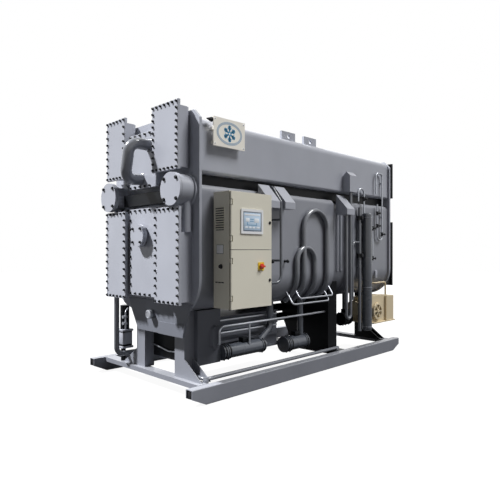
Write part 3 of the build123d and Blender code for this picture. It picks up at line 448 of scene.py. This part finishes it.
# A louvre's section in (x, z), from the cabinet's side and the louvre's height
LOUVRE_PROFILE = ((0.001, 0.016), (-0.004, 0.014), (-0.010, 0.004), (-0.010, 0.001), (0.001, 0.001))
louvre_heights = [cabinet_high.z - LOUVRE_TOP - index * LOUVRE_PITCH for index in range(LOUVRE_COUNT)]


def on_side(span):
    """Gives the two ends of a span that is measured back from the cabinet's front."""
    return [side_front + part for part in span]


def louvres(bm):
    """Adds pressed hoods that slope out over each slot."""
    count = len(LOUVRE_PROFILE)
    for z in louvre_heights:
        rows = [[(side_x + out, y, z + up) for out, up in LOUVRE_PROFILE] for y in on_side(LOUVRE_SPAN)]
        ends = [[bm.verts.new(spot) for spot in row] for row in rows]
        for corner in range(count):
            after = (corner + 1) % count
            bm.faces.new((ends[0][corner], ends[0][after], ends[1][after], ends[1][corner]))
        for end in ends:
            bm.faces.new(end)


MARK_PROUD = 0.0015
MARK_SUNK = 0.001
SLOT_INSET = 0.003
SLOT_HEIGHTS = (-0.008, 0.001)
LOW_SLOT_SPANS = ((0.080, 0.118), (0.126, 0.164), (0.172, 0.210))
LOW_SLOT_HEIGHTS = (1.222, 1.234)
PLATE_SPAN = (0.085, 0.190)
PLATE_HEIGHTS = (1.522, 1.616)
PLATE_RIM = 0.004
PLATE_PROUD = 0.003


def mark(bm, ends, heights):
    """Adds a thin dark mark on the cabinet's side."""
    low = (side_x - MARK_PROUD, ends[0], heights[0])
    slab(bm, low, (side_x + MARK_SUNK, ends[1], heights[1]), MARK_SUNK / 2)


# Black marks under the louvres and for the three low slots: painted shade in the openings; one more lies
# under the side plate as a dark border round it
def slots(bm):
    start, stop = on_side(LOUVRE_SPAN)
    for z in louvre_heights:
        mark(bm, (start + SLOT_INSET, stop - SLOT_INSET), [z + up for up in SLOT_HEIGHTS])
    for span in LOW_SLOT_SPANS:
        mark(bm, on_side(span), LOW_SLOT_HEIGHTS)
    mark(bm, on_side(PLATE_SPAN), PLATE_HEIGHTS)


def side_plate(bm):
    start, stop = on_side(PLATE_SPAN)
    bottom, top = PLATE_HEIGHTS
    low = (side_x - PLATE_PROUD, start + PLATE_RIM, bottom + PLATE_RIM)
    slab(bm, low, (side_x, stop - PLATE_RIM, top - PLATE_RIM), 0.001)


GLAND_Y = 0.120
GLAND_Z = 1.392
GLAND_PROFILE = ((0.024, 0), (0.024, 0.006), (0.018, 0.006), (0.018, 0.022), (0.010, 0.028))
FLOOR_GLAND = ((0.016, 0), (0.016, 0.012), (0.012, 0.014), (0.012, 0.026))
FLOOR_GLAND_START = 0.12
FLOOR_GLAND_STEP = 0.09
FLOOR_GLAND_COUNT = 5


def glands(bm):
    """Adds one gland on the side and a row of them under the cabinet's floor."""
    y = side_front + GLAND_Y
    lathe(bm, facing((side_x, y, GLAND_Z), LEFT), GLAND_PROFILE, 20)
    for index in range(FLOOR_GLAND_COUNT):
        x = cabinet_low.x + FLOOR_GLAND_START + index * FLOOR_GLAND_STEP
        lathe(bm, facing((x, y, cabinet_low.z), DOWN), FLOOR_GLAND, 6)


LIP_OUT = 0.004
LIP_DEPTH = 0.012
LIP_RISE = 0.005
LIP_BACK = 0.001


def rain_lip(bm):
    low = (cabinet_low.x - LIP_OUT, side_front - LIP_OUT, cabinet_high.z - LIP_DEPTH)
    high = (cabinet_high.x + LIP_OUT, cabinet_high.y + LIP_BACK, cabinet_high.z + LIP_RISE)
    slab(bm, low, high, 0.003)


SEAL = 0.012
SEAL_DEPTH = (0.0005, 0.0045)
SEAL_INSET_X = 0.008
SEAL_INSET_Z = 0.006
RAIL_HALF = 0.016


def door_seals(bm):
    """Adds a black seal round the opening behind the doors, and the rail behind their seam."""
    front, back = (lower_high.y + depth for depth in SEAL_DEPTH)
    left, right = lower_low.x + SEAL_INSET_X, lower_high.x - SEAL_INSET_X
    bottom, top = lower_low.z + SEAL_INSET_Z, upper_high.z - SEAL_INSET_Z
    seam = middle_of(lower_high.z, upper_low.z)
    for x in (left, right - SEAL):
        slab(bm, (x, front, bottom), (x + SEAL, back, top), 0.001)
    for low_z, high_z in ((bottom, bottom + SEAL), (top - SEAL, top), (seam - RAIL_HALF, seam + RAIL_HALF)):
        slab(bm, (left, front, low_z), (right, back, high_z), 0.001)


piece("cabinet_louvres", "chiller", BEIGE, louvres)
piece("cabinet_slots_painted_shade", "chiller", RUBBER, slots)
piece("cabinet_side_plate", "chiller", SCREEN_FRAME, side_plate)
piece("cabinet_glands", "chiller", RUBBER, glands)
piece("cabinet_rain_lip", "chiller", BEIGE, rain_lip)
piece("door_seals", "chiller", RUBBER, door_seals)

LATCH_INSET = 0.028
UPPER_LATCH_Z = 1.854
LOWER_LATCH_Z = 1.236
LATCH_PROFILE = ((0.017, 0), (0.017, 0.005), (0.014, 0.008), (0.009, 0.009), (0.008, 0.004))


def latch(z):
    """Gives a maker of a quarter-turn latch by a door's free edge."""

    def make(bm):
        lathe(bm, facing((upper_high.x - LATCH_INSET, upper_low.y, z), FRONT), LATCH_PROFILE)

    return make


piece("door_latch_upper", "upper_door", RUBBER, latch(UPPER_LATCH_Z))
piece("door_latch_lower", "lower_door", RUBBER, latch(LOWER_LATCH_Z))

# Touch screen: a dark surround, a pale page and a generic plant diagram in tiles
panel_low, panel_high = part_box("touch_panel")
RECESS = 0.026
RECESS_DEPTH = 0.004
SURROUND = 0.014
SURROUND_THICK = 0.0015
PAGE_THICK = 0.0008
TILE_THICK = 0.0006
glass_y = panel_low.y + RECESS_DEPTH
page_y = glass_y - SURROUND_THICK
tile_y = page_y - PAGE_THICK
glass_low = Vector((panel_low.x + RECESS, glass_y, panel_low.z + RECESS))
glass_high = Vector((panel_high.x - RECESS, glass_y, panel_high.z - RECESS))
page_low = glass_low + Vector((SURROUND, 0, SURROUND))
page_high = glass_high - Vector((SURROUND, 0, SURROUND))


def sheet_on(bm, low, high, front, thick):
    """Adds a thin plate that stands a little proud of the glass."""
    slab(bm, (low.x, front - thick, low.z), (high.x, front, high.z), thick / 3)


def screen_surround(bm):
    sheet_on(bm, glass_low, glass_high, glass_y, SURROUND_THICK)


def screen_page(bm):
    sheet_on(bm, page_low, page_high, page_y, PAGE_THICK)


# Tiles as (x, z, width, height) in shares of the page: a title, buttons and two vessels, then lines
TILES_WHITE = (
    (0.04, 0.84, 0.92, 0.10),
    (0.06, 0.10, 0.16, 0.10),
    (0.28, 0.10, 0.16, 0.10),
    (0.50, 0.10, 0.16, 0.10),
    (0.74, 0.10, 0.20, 0.10),
    (0.10, 0.48, 0.22, 0.22),
    (0.62, 0.44, 0.28, 0.26),
)
TILES_BLUE = (
    (0.36, 0.62, 0.22, 0.03),
    (0.36, 0.50, 0.22, 0.03),
    (0.18, 0.30, 0.03, 0.16),
    (0.74, 0.30, 0.03, 0.12),
    (0.18, 0.28, 0.59, 0.03),
)


def tiles(shapes):
    """Gives a maker of tiles on the page."""
    span = page_high - page_low

    def make(bm):
        for x, z, width, height in shapes:
            low = page_low + Vector((span.x * x, 0, span.z * z))
            sheet_on(bm, low, low + Vector((span.x * width, 0, span.z * height)), tile_y, TILE_THICK)

    return make


piece("screen_surround", "upper_door", SCREEN_GREY, screen_surround)
piece("screen_page", "upper_door", SCREEN_PAGE, screen_page)
piece("screen_tiles", "upper_door", SCREEN_TILE, tiles(TILES_WHITE))
piece("screen_lines", "upper_door", MOTIF_BLUE, tiles(TILES_BLUE))

# Sign board: an oval band round a snow crystal, a screw in each corner and a small horn beside it
board_low, board_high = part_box("sign_board")
board_middle = middle_of(board_low, board_high)
RELIEF = 0.0015
RING_HALF = Vector((0.182, 0.122))
RING_BAND = Vector((0.026, 0.026))
FLAKE = 0.088
FLAKE_HEART = 0.012
FLAKE_ARM = 0.019
TWIG_ARM = FLAKE_ARM * 0.7
TWIG_TURNS = (-pi / 4, pi / 4)
# Twigs as the share of the arm where they start, and their length
TWIGS = ((0.45, 0.034), (0.72, 0.024))


def around(bm, first, second):
    """Joins two closed rows of points by a strip of faces."""
    count = len(first)
    for index in range(count):
        after = (index + 1) % count
        bm.faces.new((first[index], first[after], second[after], second[index]))


def raised(bm, outline):
    """Adds an outline in (x, z) twice, proud of the board and on it, and the wall between."""
    front = [bm.verts.new((x, board_low.y - RELIEF, z)) for x, z in outline]
    back = [bm.verts.new((x, board_low.y, z)) for x, z in outline]
    around(bm, front, back)
    return front, back


def oval(half, count=72):
    angles = [2 * pi * index / count for index in range(count)]
    return [(board_middle.x + half.x * cos(a), board_middle.z + half.y * sin(a)) for a in angles]


def ring(bm):
    outer = raised(bm, oval(RING_HALF))
    inner = raised(bm, oval(RING_HALF - RING_BAND))
    for outer_row, inner_row in zip(outer, inner):
        around(bm, outer_row, inner_row)


def bar(bm, start, stop, width):
    """Adds a flat bar between two (x, z) points of the board."""
    along = (stop - start).normalized()
    aside = Vector((-along.y, along.x)) * width / 2
    for face in raised(bm, [start + aside, start - aside, stop - aside, stop + aside]):
        bm.faces.new(face)


def flake(bm):
    """Adds six arms, each with two pairs of twigs."""
    centre = Vector((board_middle.x, board_middle.z))
    for arm in range(6):
        angle = pi / 6 + arm * pi / 3
        out = Vector((cos(angle), sin(angle)))
        bar(bm, centre + out * FLAKE_HEART, centre + out * FLAKE, FLAKE_ARM)
        for turn in TWIG_TURNS:
            twig = Vector((cos(angle + turn), sin(angle + turn)))
            for share, length in TWIGS:
                root = centre + out * FLAKE * share
                bar(bm, root, root + twig * length, TWIG_ARM)


SCREW_INSET = 0.022
SCREW_PROFILE = ((0.008, 0), (0.008, 0.002), (0.005, 0.004), (0, 0.0045))
HORN_BACK = 0.045
HORN_DOWN = 0.034
HORN_PROFILE = ((0.026, 0), (0.026, 0.004), (0.004, 0.070), (0, 0.072))


def board_screws(bm):
    for x in (board_low.x + SCREW_INSET, board_high.x - SCREW_INSET):
        for z in (board_low.z + SCREW_INSET, board_high.z - SCREW_INSET):
            lathe(bm, facing((x, board_low.y, z), FRONT), SCREW_PROFILE, 16)


def board_horn(bm):
    """Adds the short black cone at the board's left edge, by the shell's top."""
    root = (board_low.x, board_high.y - HORN_BACK, board_high.z - HORN_DOWN)
    lathe(bm, facing(root, LEFT), HORN_PROFILE)


piece("board_ring", "chiller", RING_BLUE, ring)
piece("board_flake", "chiller", MOTIF_BLUE, flake)
piece("board_screws", "chiller", STEEL, board_screws)
piece("board_horn", "chiller", RUBBER, board_horn)

# Ball knobs on the shell front, one each side of the conduit
shell_low, shell_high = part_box("lower_shell")
KNOB_X = (-0.842, -0.572)
KNOB_Z = 1.426
KNOB_STEM = ((0.017, -0.004), (0.017, 0.006), (0.008, 0.008), (0.008, 0.030))
BALL_RADIUS = 0.022
BALL_REACH = 0.048
BALL_ANGLES = (-1.1, -0.7, -0.3, 0.1, 0.5, 0.9, 1.25)


def knobs(bm):
    ball = [(BALL_RADIUS * cos(a), BALL_REACH + BALL_RADIUS * sin(a)) for a in BALL_ANGLES]
    profile = [*KNOB_STEM, *ball, (0, BALL_REACH + BALL_RADIUS)]
    for x in KNOB_X:
        lathe(bm, facing((skid_middle.x + x, shell_low.y, KNOB_Z), FRONT), profile)


piece("shell_knobs", "chiller", BOLT, knobs)

# Return bend: a round U out of the upper centre cover, over the mitred one of the solids
BEND_SIZE = 0.122
BEND_RADIUS = 0.105
BEND_ROUTE = (
    at_skid(-2.050, -0.300, 2.700),
    at_skid(-2.295, -0.286, 2.704),
    at_skid(-2.298, -0.202, 2.322),
    at_skid(-2.050, -0.142, 2.345),
)
BEND_WELD = ((0.072, -0.004), (0.070, 0.004), (0.062, 0.010))


def bend(bm):
    pipe(bm, rounded(BEND_ROUTE, BEND_RADIUS, 10), BEND_SIZE, 32)
    cover_low, _ = covers["covers_upper"][CENTRE]
    for end in (BEND_ROUTE[0], BEND_ROUTE[-1]):
        lathe(bm, facing((cover_low.x, end.y, end.z), LEFT), BEND_WELD, 32)


new_bend = piece("round_return_bend", "chiller", PIPE_GREY, bend)
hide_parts("return_bend")

# Sleeve behind the near nozzle's flange
SLEEVE_RADIUS = 0.160
SLEEVE_BORE = 0.128
SLEEVE_EDGE = 0.006
SLEEVE_GAP = 0.001
SLEEVE_SHORT = 0.030


def sleeve(bm):
    low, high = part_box("nozzle_near")
    start = Vector((low.x + NOZZLE_PLATES + SLEEVE_GAP, middle_of(low.y, high.y), high.z - COLLAR / 2))
    length = high.x - start.x - SLEEVE_SHORT
    front = [(SLEEVE_BORE, 0), (SLEEVE_RADIUS - SLEEVE_EDGE, 0), (SLEEVE_RADIUS, SLEEVE_EDGE)]
    back = [(radius, length - height) for radius, height in reversed(front)]
    lathe(bm, facing(start, RIGHT), front + back, 64)


piece("nozzle_sleeve", "chiller", BLUE_GREY, sleeve)

# Bright cap on the sump's stub
STUB_Y = -0.170
STUB_Z = 0.840
STUB_RADIUS = 0.0475
CAP_WALL = 0.003
CAP_LENGTH = 0.030
CAP_RIM = 0.010


def stub_cap(bm):
    low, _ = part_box("sump_box")
    outer, inner = STUB_RADIUS + CAP_WALL, STUB_RADIUS - CAP_RIM
    profile = [(outer, -CAP_LENGTH), (outer, 0), (inner, 0.004), (inner, 0.001), (0, 0.001)]
    lathe(bm, facing((low.x, skid_middle.y + STUB_Y, STUB_Z), LEFT), profile, 32)


piece("sump_stub_cap", "chiller", STEEL, stub_cap)

# Ribs in the shell's recess, behind the risers
RIB_X = (0.590, 0.680, 0.770)
RIB_SPAN = (1.270, 2.130)
RIB_SIZE = 0.046
RIB_DEPTH = 0.118


def recess_ribs(bm):
    for x in RIB_X:
        ends = [Vector((skid_middle.x + x, shell_low.y + RIB_DEPTH, z)) for z in RIB_SPAN]
        pipe(bm, ends, RIB_SIZE, 20)


piece("recess_ribs", "chiller", BLUE_GREY, recess_ribs)

# Far pump: a light casing with a lid at each end, and a line with two valves beside it
far_low, far_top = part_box("far_pump")
CASING_GROW = 0.004
CASING_HEIGHTS = (0.388, 0.543)
LID_GROW = 0.012
LID_THICK = 0.026
LID_HEIGHTS = (0.344, 0.551)
VALVE_LINE_SIZE = 0.020
VALVE_LINE_IN = 0.02
VALVE_LINE_OUT = 0.028
VALVE_LINE_FOOT = 0.575
VALVE_LINE_TOP = 0.80
VALVE_LINE_END = Vector((0.05, 0.03, 0.04))
VALVE_LINE_BEND = 0.02
VALVE_HEIGHTS = (0.66, 0.74)
VALVE_BODY = ((0.020, -0.015), (0.020, 0.015), (0.012, 0.017))
VALVE_WHEEL = ((0.009, 0), (0.009, 0.03), (0.020, 0.032), (0.020, 0.040))


def far_box(bm, heights, grow, edge):
    """Adds a box a little larger than the pump's plan."""
    low = (far_low.x - grow, far_low.y - grow, heights[0])
    slab(bm, low, (far_top.x + grow, far_top.y + grow, heights[1]), edge)


def far_casing(bm):
    far_box(bm, CASING_HEIGHTS, CASING_GROW, 0.012)
    for z in LID_HEIGHTS:
        far_box(bm, (z, z + LID_THICK), LID_GROW, 0.004)


def far_valve(bm):
    foot = Vector((far_low.x + VALVE_LINE_IN, far_low.y - VALVE_LINE_OUT, VALVE_LINE_FOOT))
    top = Vector((foot.x, foot.y, VALVE_LINE_TOP))
    route = rounded([foot, top, top + VALVE_LINE_END], VALVE_LINE_BEND)
    pipe(bm, route, VALVE_LINE_SIZE, 12)
    for z in VALVE_HEIGHTS:
        at = (foot.x, foot.y, z)
        lathe(bm, facing(at, UP), VALVE_BODY, 12)
        lathe(bm, facing(at, LEFT), VALVE_WHEEL, 12)


piece("far_pump_casing", "chiller", BLUE_GREY, far_casing)
piece("far_pump_valve", "chiller", STEEL, far_valve)

# Exchanger: a black plate as painted shade, with slim lines across it, and pipes that run on under the
# belly
exchanger_low, exchanger_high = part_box("heat_exchanger")
right_legs_low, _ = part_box("legs_right")
END_PLATE_FRONT = -0.46
END_PLATE_INSET = 0.01
END_PLATE_PROUD = 0.006
END_PLATE_SUNK = 0.002
LINE_SIZE = 0.018
LINE_GAP = 0.022
LINE_SWEEP = 0.25
LINE_PLACES = (-0.560, -0.200, 0.200)
LINE_HEIGHTS = ((0.690, 0.668, 0.720), (0.560, 0.600, 0.590), (0.430, 0.395, 0.455))
UNDER_SIZE = 0.120
UNDER_HEIGHTS = (0.570, 0.700, 0.840)
UNDER_STEP = 0.06
UNDER_SUNK = (0.01, 0.02)


def exchanger_painted_shade_plate(bm):
    """Adds a black plate, painted shade for the dark space that shows between the left legs."""
    low, high = exchanger_low, exchanger_high
    front = skid_middle.y + END_PLATE_FRONT
    corner = (low.x + END_PLATE_SUNK, high.y - END_PLATE_INSET, high.z - END_PLATE_INSET)
    slab(bm, (low.x - END_PLATE_PROUD, front, low.z + END_PLATE_INSET), corner, 0.002)


def slim_lines(bm):
    x = exchanger_low.x - LINE_GAP
    for heights in LINE_HEIGHTS:
        route = [(x, skid_middle.y + y, z) for y, z in zip(LINE_PLACES, heights)]
        pipe(bm, rounded(route, LINE_SWEEP), LINE_SIZE, 12)


def under_pipes(bm):
    """Adds pipes from the exchanger to the right legs, each a step further back than the one below."""
    for index, z in enumerate(UNDER_HEIGHTS):
        y = skid_middle.y + UNDER_STEP * index
        start, stop = exchanger_high.x - UNDER_SUNK[0], right_legs_low.x + UNDER_SUNK[1]
        pipe(bm, [Vector((x, y, z)) for x in (start, stop)], UNDER_SIZE, 24)


piece("exchanger_painted_shade_plate", "chiller", BLACK, exchanger_painted_shade_plate)
piece("leg_lines", "chiller", STEEL, slim_lines)
piece("under_pipes", "chiller", BLACK, under_pipes)

# Skid pipe: raised on small saddles, with a round bend, over the plain one of the solids
SKID_LINE = 0.042
SKID_LINE_BEND = 0.06
SADDLE_TOP = 0.012
SADDLE_HALF = 0.02
SADDLE_OUT = 0.004
SADDLE_PLACES = (0.02, -0.04)


def skid_line(bm):
    low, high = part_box("skid_pipe")
    half = SKID_LINE / 2
    z = low.z + SADDLE_TOP + half
    route = [(low.x + half, high.y, z), (low.x + half, low.y + half, z), (high.x, low.y + half, z)]
    pipe(bm, rounded(route, SKID_LINE_BEND, 8), SKID_LINE, 24)
    for x in (low.x + SADDLE_PLACES[0], high.x + SADDLE_PLACES[1]):
        corner = (x + SADDLE_HALF, low.y + SKID_LINE + SADDLE_OUT, z)
        slab(bm, (x - SADDLE_HALF, low.y - SADDLE_OUT, low.z), corner, 0.003)


skid_line_made = piece("round_skid_pipe", "chiller", PIPE_GREY, skid_line)
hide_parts("skid_pipe")

# Small block on the right of the belly
BLOCK_X = (1.488, 1.548)
BLOCK_DEPTHS = (-0.018, 0.060)
BLOCK_HEIGHTS = (1.135, 1.255)


def belly_block(bm):
    spans = zip(BLOCK_X, BLOCK_DEPTHS, BLOCK_HEIGHTS)
    low, high = ((skid_middle.x + x, shell_low.y + y, z) for x, y, z in spans)
    slab(bm, low, high, 0.006)


piece("belly_block", "chiller", BLUE_GREY, belly_block)

# Valves on the tubes: a body along the pipe, with a stem and a small handwheel at its front
TUBE_VALVE = ((0.9, -0.030), (0.9, -0.018), (0.7, -0.016), (0.7, 0.016), (0.9, 0.018), (0.9, 0.030))
VALVE_STEM = ((0.010, 0), (0.010, 0.030), (0.006, 0.032), (0.006, 0.046))
WHEEL_RIM = ((1, 0), (1, 0.006), (0.7, 0.010))
WHEEL_NUT = ((0.008, 0.009), (0.006, 0.014))
WHEEL_REACH = 0.046


def valve(bm, point, pipe_size, handle):
    """Adds a valve for a pipe size, with a handwheel of a given radius."""
    wheel = [*sized(WHEEL_RIM, handle), *WHEEL_NUT]
    lathe(bm, facing(point, UP), sized(TUBE_VALVE, pipe_size), 6)
    lathe(bm, facing(point, FRONT), VALVE_STEM, 16)
    lathe(bm, facing(point + Vector(FRONT) * WHEEL_REACH, FRONT), wheel, 20)


_, tubes_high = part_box("sample_tubes")
sample_y = tubes_high.y - 0.032
gauge_y = tubes_high.y - 0.060
column_y = shell_low.y - 0.040
# Pipe size and handwheel radius of each kind of valve
SMALL = (0.024, 0.018)
SMALLEST = (0.024, 0.016)
MEDIUM = (0.026, 0.020)
LARGE = (0.045, 0.030)
VALVES = (
    (1.520, sample_y, 2.113, SMALL),
    (1.520, sample_y, 1.924, SMALL),
    (1.655, sample_y, 1.800, SMALLEST),
    (1.333, gauge_y, 1.440, MEDIUM),
    (1.333, gauge_y, 1.880, MEDIUM),
    (1.150, sample_y, 2.300, SMALL),
    (1.021, column_y, 1.480, LARGE),
    (1.021, column_y, 2.020, LARGE),
)


def valves(bm):
    for x, y, z, (pipe_size, handle) in VALVES:
        valve(bm, Vector((skid_middle.x + x, y, z)), pipe_size, handle)


piece("tube_valves", "chiller", BOLT, valves)


# Weld bands round the purge vessel
BAND_SUNK = 0.002
BAND_SHOULDER = 0.7
BAND_TURN = 0.2
VESSEL_BANDS_UP = (0.05, 0.62)
VESSEL_BAND_DOWN = 0.07


def band(bm, centre, axis, radius, width=0.010, proud=0.003):
    """Adds a low round band about a cylinder."""
    foot, shoulder = radius - BAND_SUNK, radius + proud * BAND_SHOULDER
    rows = [(foot, 0), (shoulder, width * BAND_TURN), (radius + proud, width / 2)]
    rows += [(shoulder, width * (1 - BAND_TURN)), (foot, width)]
    lathe(bm, facing(centre, axis), rows, 40)


def vessel_bands(bm):
    low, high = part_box("purge_vessel")
    radius = (high.x - low.x) / 2
    for z in (*[low.z + up for up in VESSEL_BANDS_UP], high.z - VESSEL_BAND_DOWN):
        band(bm, (low.x + radius, low.y + radius, z), UP, radius)


piece("vessel_bands", "chiller", BLUE_GREY, vessel_bands)

# Weld beads where the shells meet the tube sheets: each shell with its straight sides' lower end
BEAD = 0.008
BEAD_TOP = 0.09
upper_shell_low, upper_shell_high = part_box("upper_shell")
SHELL_SIDES = ((upper_shell_low, upper_shell_high, 0.03), (shell_low, shell_high, 0.38))


def shell_beads(bm):
    for x in (upper_shell_low.x, upper_shell_high.x):
        for low, high, bottom in SHELL_SIDES:
            for y in (low.y, high.y):
                pipe(bm, [Vector((x, y, low.z + bottom)), Vector((x, y, high.z - BEAD_TOP))], BEAD, 8)


piece("shell_beads", "chiller", BLUE_GREY, shell_beads)

# Pumps: clamp rings with bolts, and a terminal box on each
# Places of the rings along each pump's axis, from its left end
PUMP_RINGS = {
    "solution_pump": (0.026, 0.092, 0.648),
    "refrigerant_pump": (0.026, 0.092, 0.408),
    "purge_pump": (0.026, 0.092, 0.179),
}
RINGED = ("solution_pump", "refrigerant_pump")
RING_WIDTH = 0.028
RING_PROUD = 0.004
RING_BOLTS = 8
RING_BOLT = ((0.009, -0.004), (0.009, 0.008), (0.007, 0.010))
RING_BOLT_SEAT = 0.99
PUMP_BOX_HALF = (0.05, 0.04)
PUMP_BOX_HEIGHTS = (-0.012, 0.045)


def pump_axis(node_name):
    """Gives the left end of a pump's axis, and its radius."""
    low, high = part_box(node_name)
    return Vector((low.x, middle_of(low.y, high.y), middle_of(low.z, high.z))), (high.z - low.z) / 2


def pump_rings(bm):
    """Adds a black clamp ring at each flange."""
    for node_name in RINGED:
        end, radius = pump_axis(node_name)
        for place in PUMP_RINGS[node_name]:
            start = end + Vector((place - RING_WIDTH / 2, 0, 0))
            band(bm, start, RIGHT, radius, RING_WIDTH, RING_PROUD)


def pump_bolts(bm):
    for node_name, places in PUMP_RINGS.items():
        end, radius = pump_axis(node_name)
        for turn in range(RING_BOLTS):
            angle = pi / RING_BOLTS + turn * 2 * pi / RING_BOLTS
            out = Vector((0, cos(angle), sin(angle)))
            for place in places:
                at = end + Vector((place, 0, 0)) + out * radius * RING_BOLT_SEAT
                lathe(bm, facing(at, out), RING_BOLT, 6)


def box_on_top(bm, corners, half, heights, edge):
    """Adds a box on the middle of the top between two corners, sunk a little into it."""
    low, high = corners
    x, y = middle_of(low.x, high.x), middle_of(low.y, high.y)
    bottom, top = (high.z + height for height in heights)
    slab(bm, (x - half[0], y - half[1], bottom), (x + half[0], y + half[1], top), edge)


def pump_boxes(bm):
    for node_name in PUMP_RINGS:
        box_on_top(bm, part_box(node_name), PUMP_BOX_HALF, PUMP_BOX_HEIGHTS, 0.006)


piece("pump_rings", "chiller", BLACK, pump_rings)
piece("pump_bolts", "chiller", BOLT, pump_bolts)
piece("pump_boxes", "chiller", BLACK, pump_boxes)

# Vacuum pump: a hub cap on its belt wheel, a black disc behind the spokes as painted shade in the gaps
# between them, and the motor's terminal box
wheel_low, wheel_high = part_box("belt_wheel")
wheel_middle = middle_of(wheel_low, wheel_high)
HUB_PROFILE = ((0.026, 0), (0.026, 0.004), (0.022, 0.008), (0.013, 0.008))
SHADE_GAP = 0.0025
SHADE_PROFILE = ((0.016, 0), (0.112, 0), (0.112, 0.002), (0.016, 0.002))
MOTOR_BOX_HALF = (0.055, 0.06)
MOTOR_BOX_HEIGHTS = (-0.015, 0.055)


def hub(bm):
    lathe(bm, facing((wheel_middle.x, wheel_low.y, wheel_middle.z), FRONT), HUB_PROFILE, 28)


# Black disc behind the wheel: painted shade in the gaps between the spokes
def wheel_painted_shade(bm):
    place = facing((wheel_middle.x, wheel_high.y + SHADE_GAP, wheel_middle.z), BACK)
    lathe(bm, place, SHADE_PROFILE, 48)


def motor_box(bm):
    box_on_top(bm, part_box("vacuum_motor"), MOTOR_BOX_HALF, MOTOR_BOX_HEIGHTS, 0.008)


piece("wheel_hub_cap", "pump_wheel", CREAM, hub)
piece("wheel_painted_shade", "chiller", RUBBER, wheel_painted_shade)
piece("motor_terminal_box", "chiller", CREAM, motor_box)

# Black plates just inside the open beam ends: painted shade for the beams' hollow insides
CAP_DEPTH = 0.012
CAP_HALF = 0.002
CAP_FIT = 0.001
FOOT_CUT = 0.086
BEAM_WALL = 0.008


def beam_end_painted_shade(bm):
    reach = BEAM_WALL - CAP_FIT
    for name in ("skid_beam_near", "skid_beam_far"):
        low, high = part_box(name)
        for x in (low.x + CAP_DEPTH, high.x - CAP_DEPTH):
            corner = (x + CAP_HALF, high.y - reach, high.z - reach)
            slab(bm, (x - CAP_HALF, low.y + reach, low.z + FOOT_CUT), corner, CAP_FIT)


piece("beam_end_painted_shade", "chiller", RUBBER, beam_end_painted_shade)


# Lights: a steep key from beyond the nozzle end's far side and a softer one from the front right
def sun(name, towards, strength, softness, tint=(1, 1, 1)):
    data = bpy.data.lights.new(name, "SUN")
    data.energy = strength
    data.angle = radians(softness)
    data.color = tint
    light = bpy.data.objects.new(name, data)
    light.rotation_euler = Vector(towards).to_track_quat("-Z", "Y").to_euler()
    bpy.context.collection.objects.link(light)


sun("key", (0.45, -0.50, -0.74), 7.6, 5, (0.98, 0.985, 1.0))
sun("fill", (-0.34, 0.50, -0.80), 3.0, 26)


# Room: white for the eye and in reflections, a quiet grey as a light
def seen_ray(tree, rays):
    """Gives a socket that is 1 for rays of the kinds named and 0 for the rest."""
    path = tree.nodes.new("ShaderNodeLightPath")
    total = path.outputs[rays[0]]
    for ray in rays[1:]:
        larger = tree.nodes.new("ShaderNodeMath")
        larger.operation = "MAXIMUM"
        tree.links.new(total, larger.inputs[0])
        tree.links.new(path.outputs[ray], larger.inputs[1])
        total = larger.outputs["Value"]
    return total


def seen_level(tree, rays, unseen, seen, target):
    """Sets a socket to one value for the rays named and to another for the rest."""
    level = tree.nodes.new("ShaderNodeMapRange")
    level.inputs["To Min"].default_value = unseen
    level.inputs["To Max"].default_value = seen
    tree.links.new(seen_ray(tree, rays), level.inputs["Value"])
    tree.links.new(level.outputs["Result"], target)


WHITE = (1, 1, 1, 1)
ROOM_GLOW = 1.0
ROOM_LIGHT = 0.05
ROOM_RAYS = ("Is Camera Ray", "Is Glossy Ray", "Is Transmission Ray")
world = bpy.data.worlds.new("room")
world.use_nodes = True
bpy.context.scene.world = world
sky = world.node_tree.nodes["Background"]
sky.inputs["Color"].default_value = WHITE
seen_level(world.node_tree, ROOM_RAYS, ROOM_LIGHT, ROOM_GLOW, sky.inputs["Strength"])

# Floor: nearly white for the eye, dark for the rest, so that it throws little light up at the belly
FLOOR_REACH = 30
FLOOR_GLOW = 0.93
FLOOR_TONE = (0.05, 0.05, 0.052, 1)
FLOOR_ROUGHNESS = 0.9
floor_mesh = bpy.data.meshes.new("floor")
floor_corners = [(x * FLOOR_REACH, y * FLOOR_REACH, 0) for x, y in ((-1, -1), (1, -1), (1, 1), (-1, 1))]
floor_mesh.from_pydata(floor_corners, [], [(0, 1, 2, 3)])
floor = bpy.data.objects.new("floor", floor_mesh)
bpy.context.collection.objects.link(floor)
floor_paint = bpy.data.materials.new("floor_paint")
floor_paint.use_nodes = True
matt = floor_paint.node_tree.nodes["Principled BSDF"]
matt.inputs["Base Color"].default_value = FLOOR_TONE
matt.inputs["Roughness"].default_value = FLOOR_ROUGHNESS
matt.inputs["Emission Color"].default_value = WHITE
seen_level(floor_paint.node_tree, ("Is Camera Ray",), 0, FLOOR_GLOW, matt.inputs["Emission Strength"])
floor_mesh.materials.append(floor_paint)

bpy.context.scene.view_settings.view_transform = "Standard"
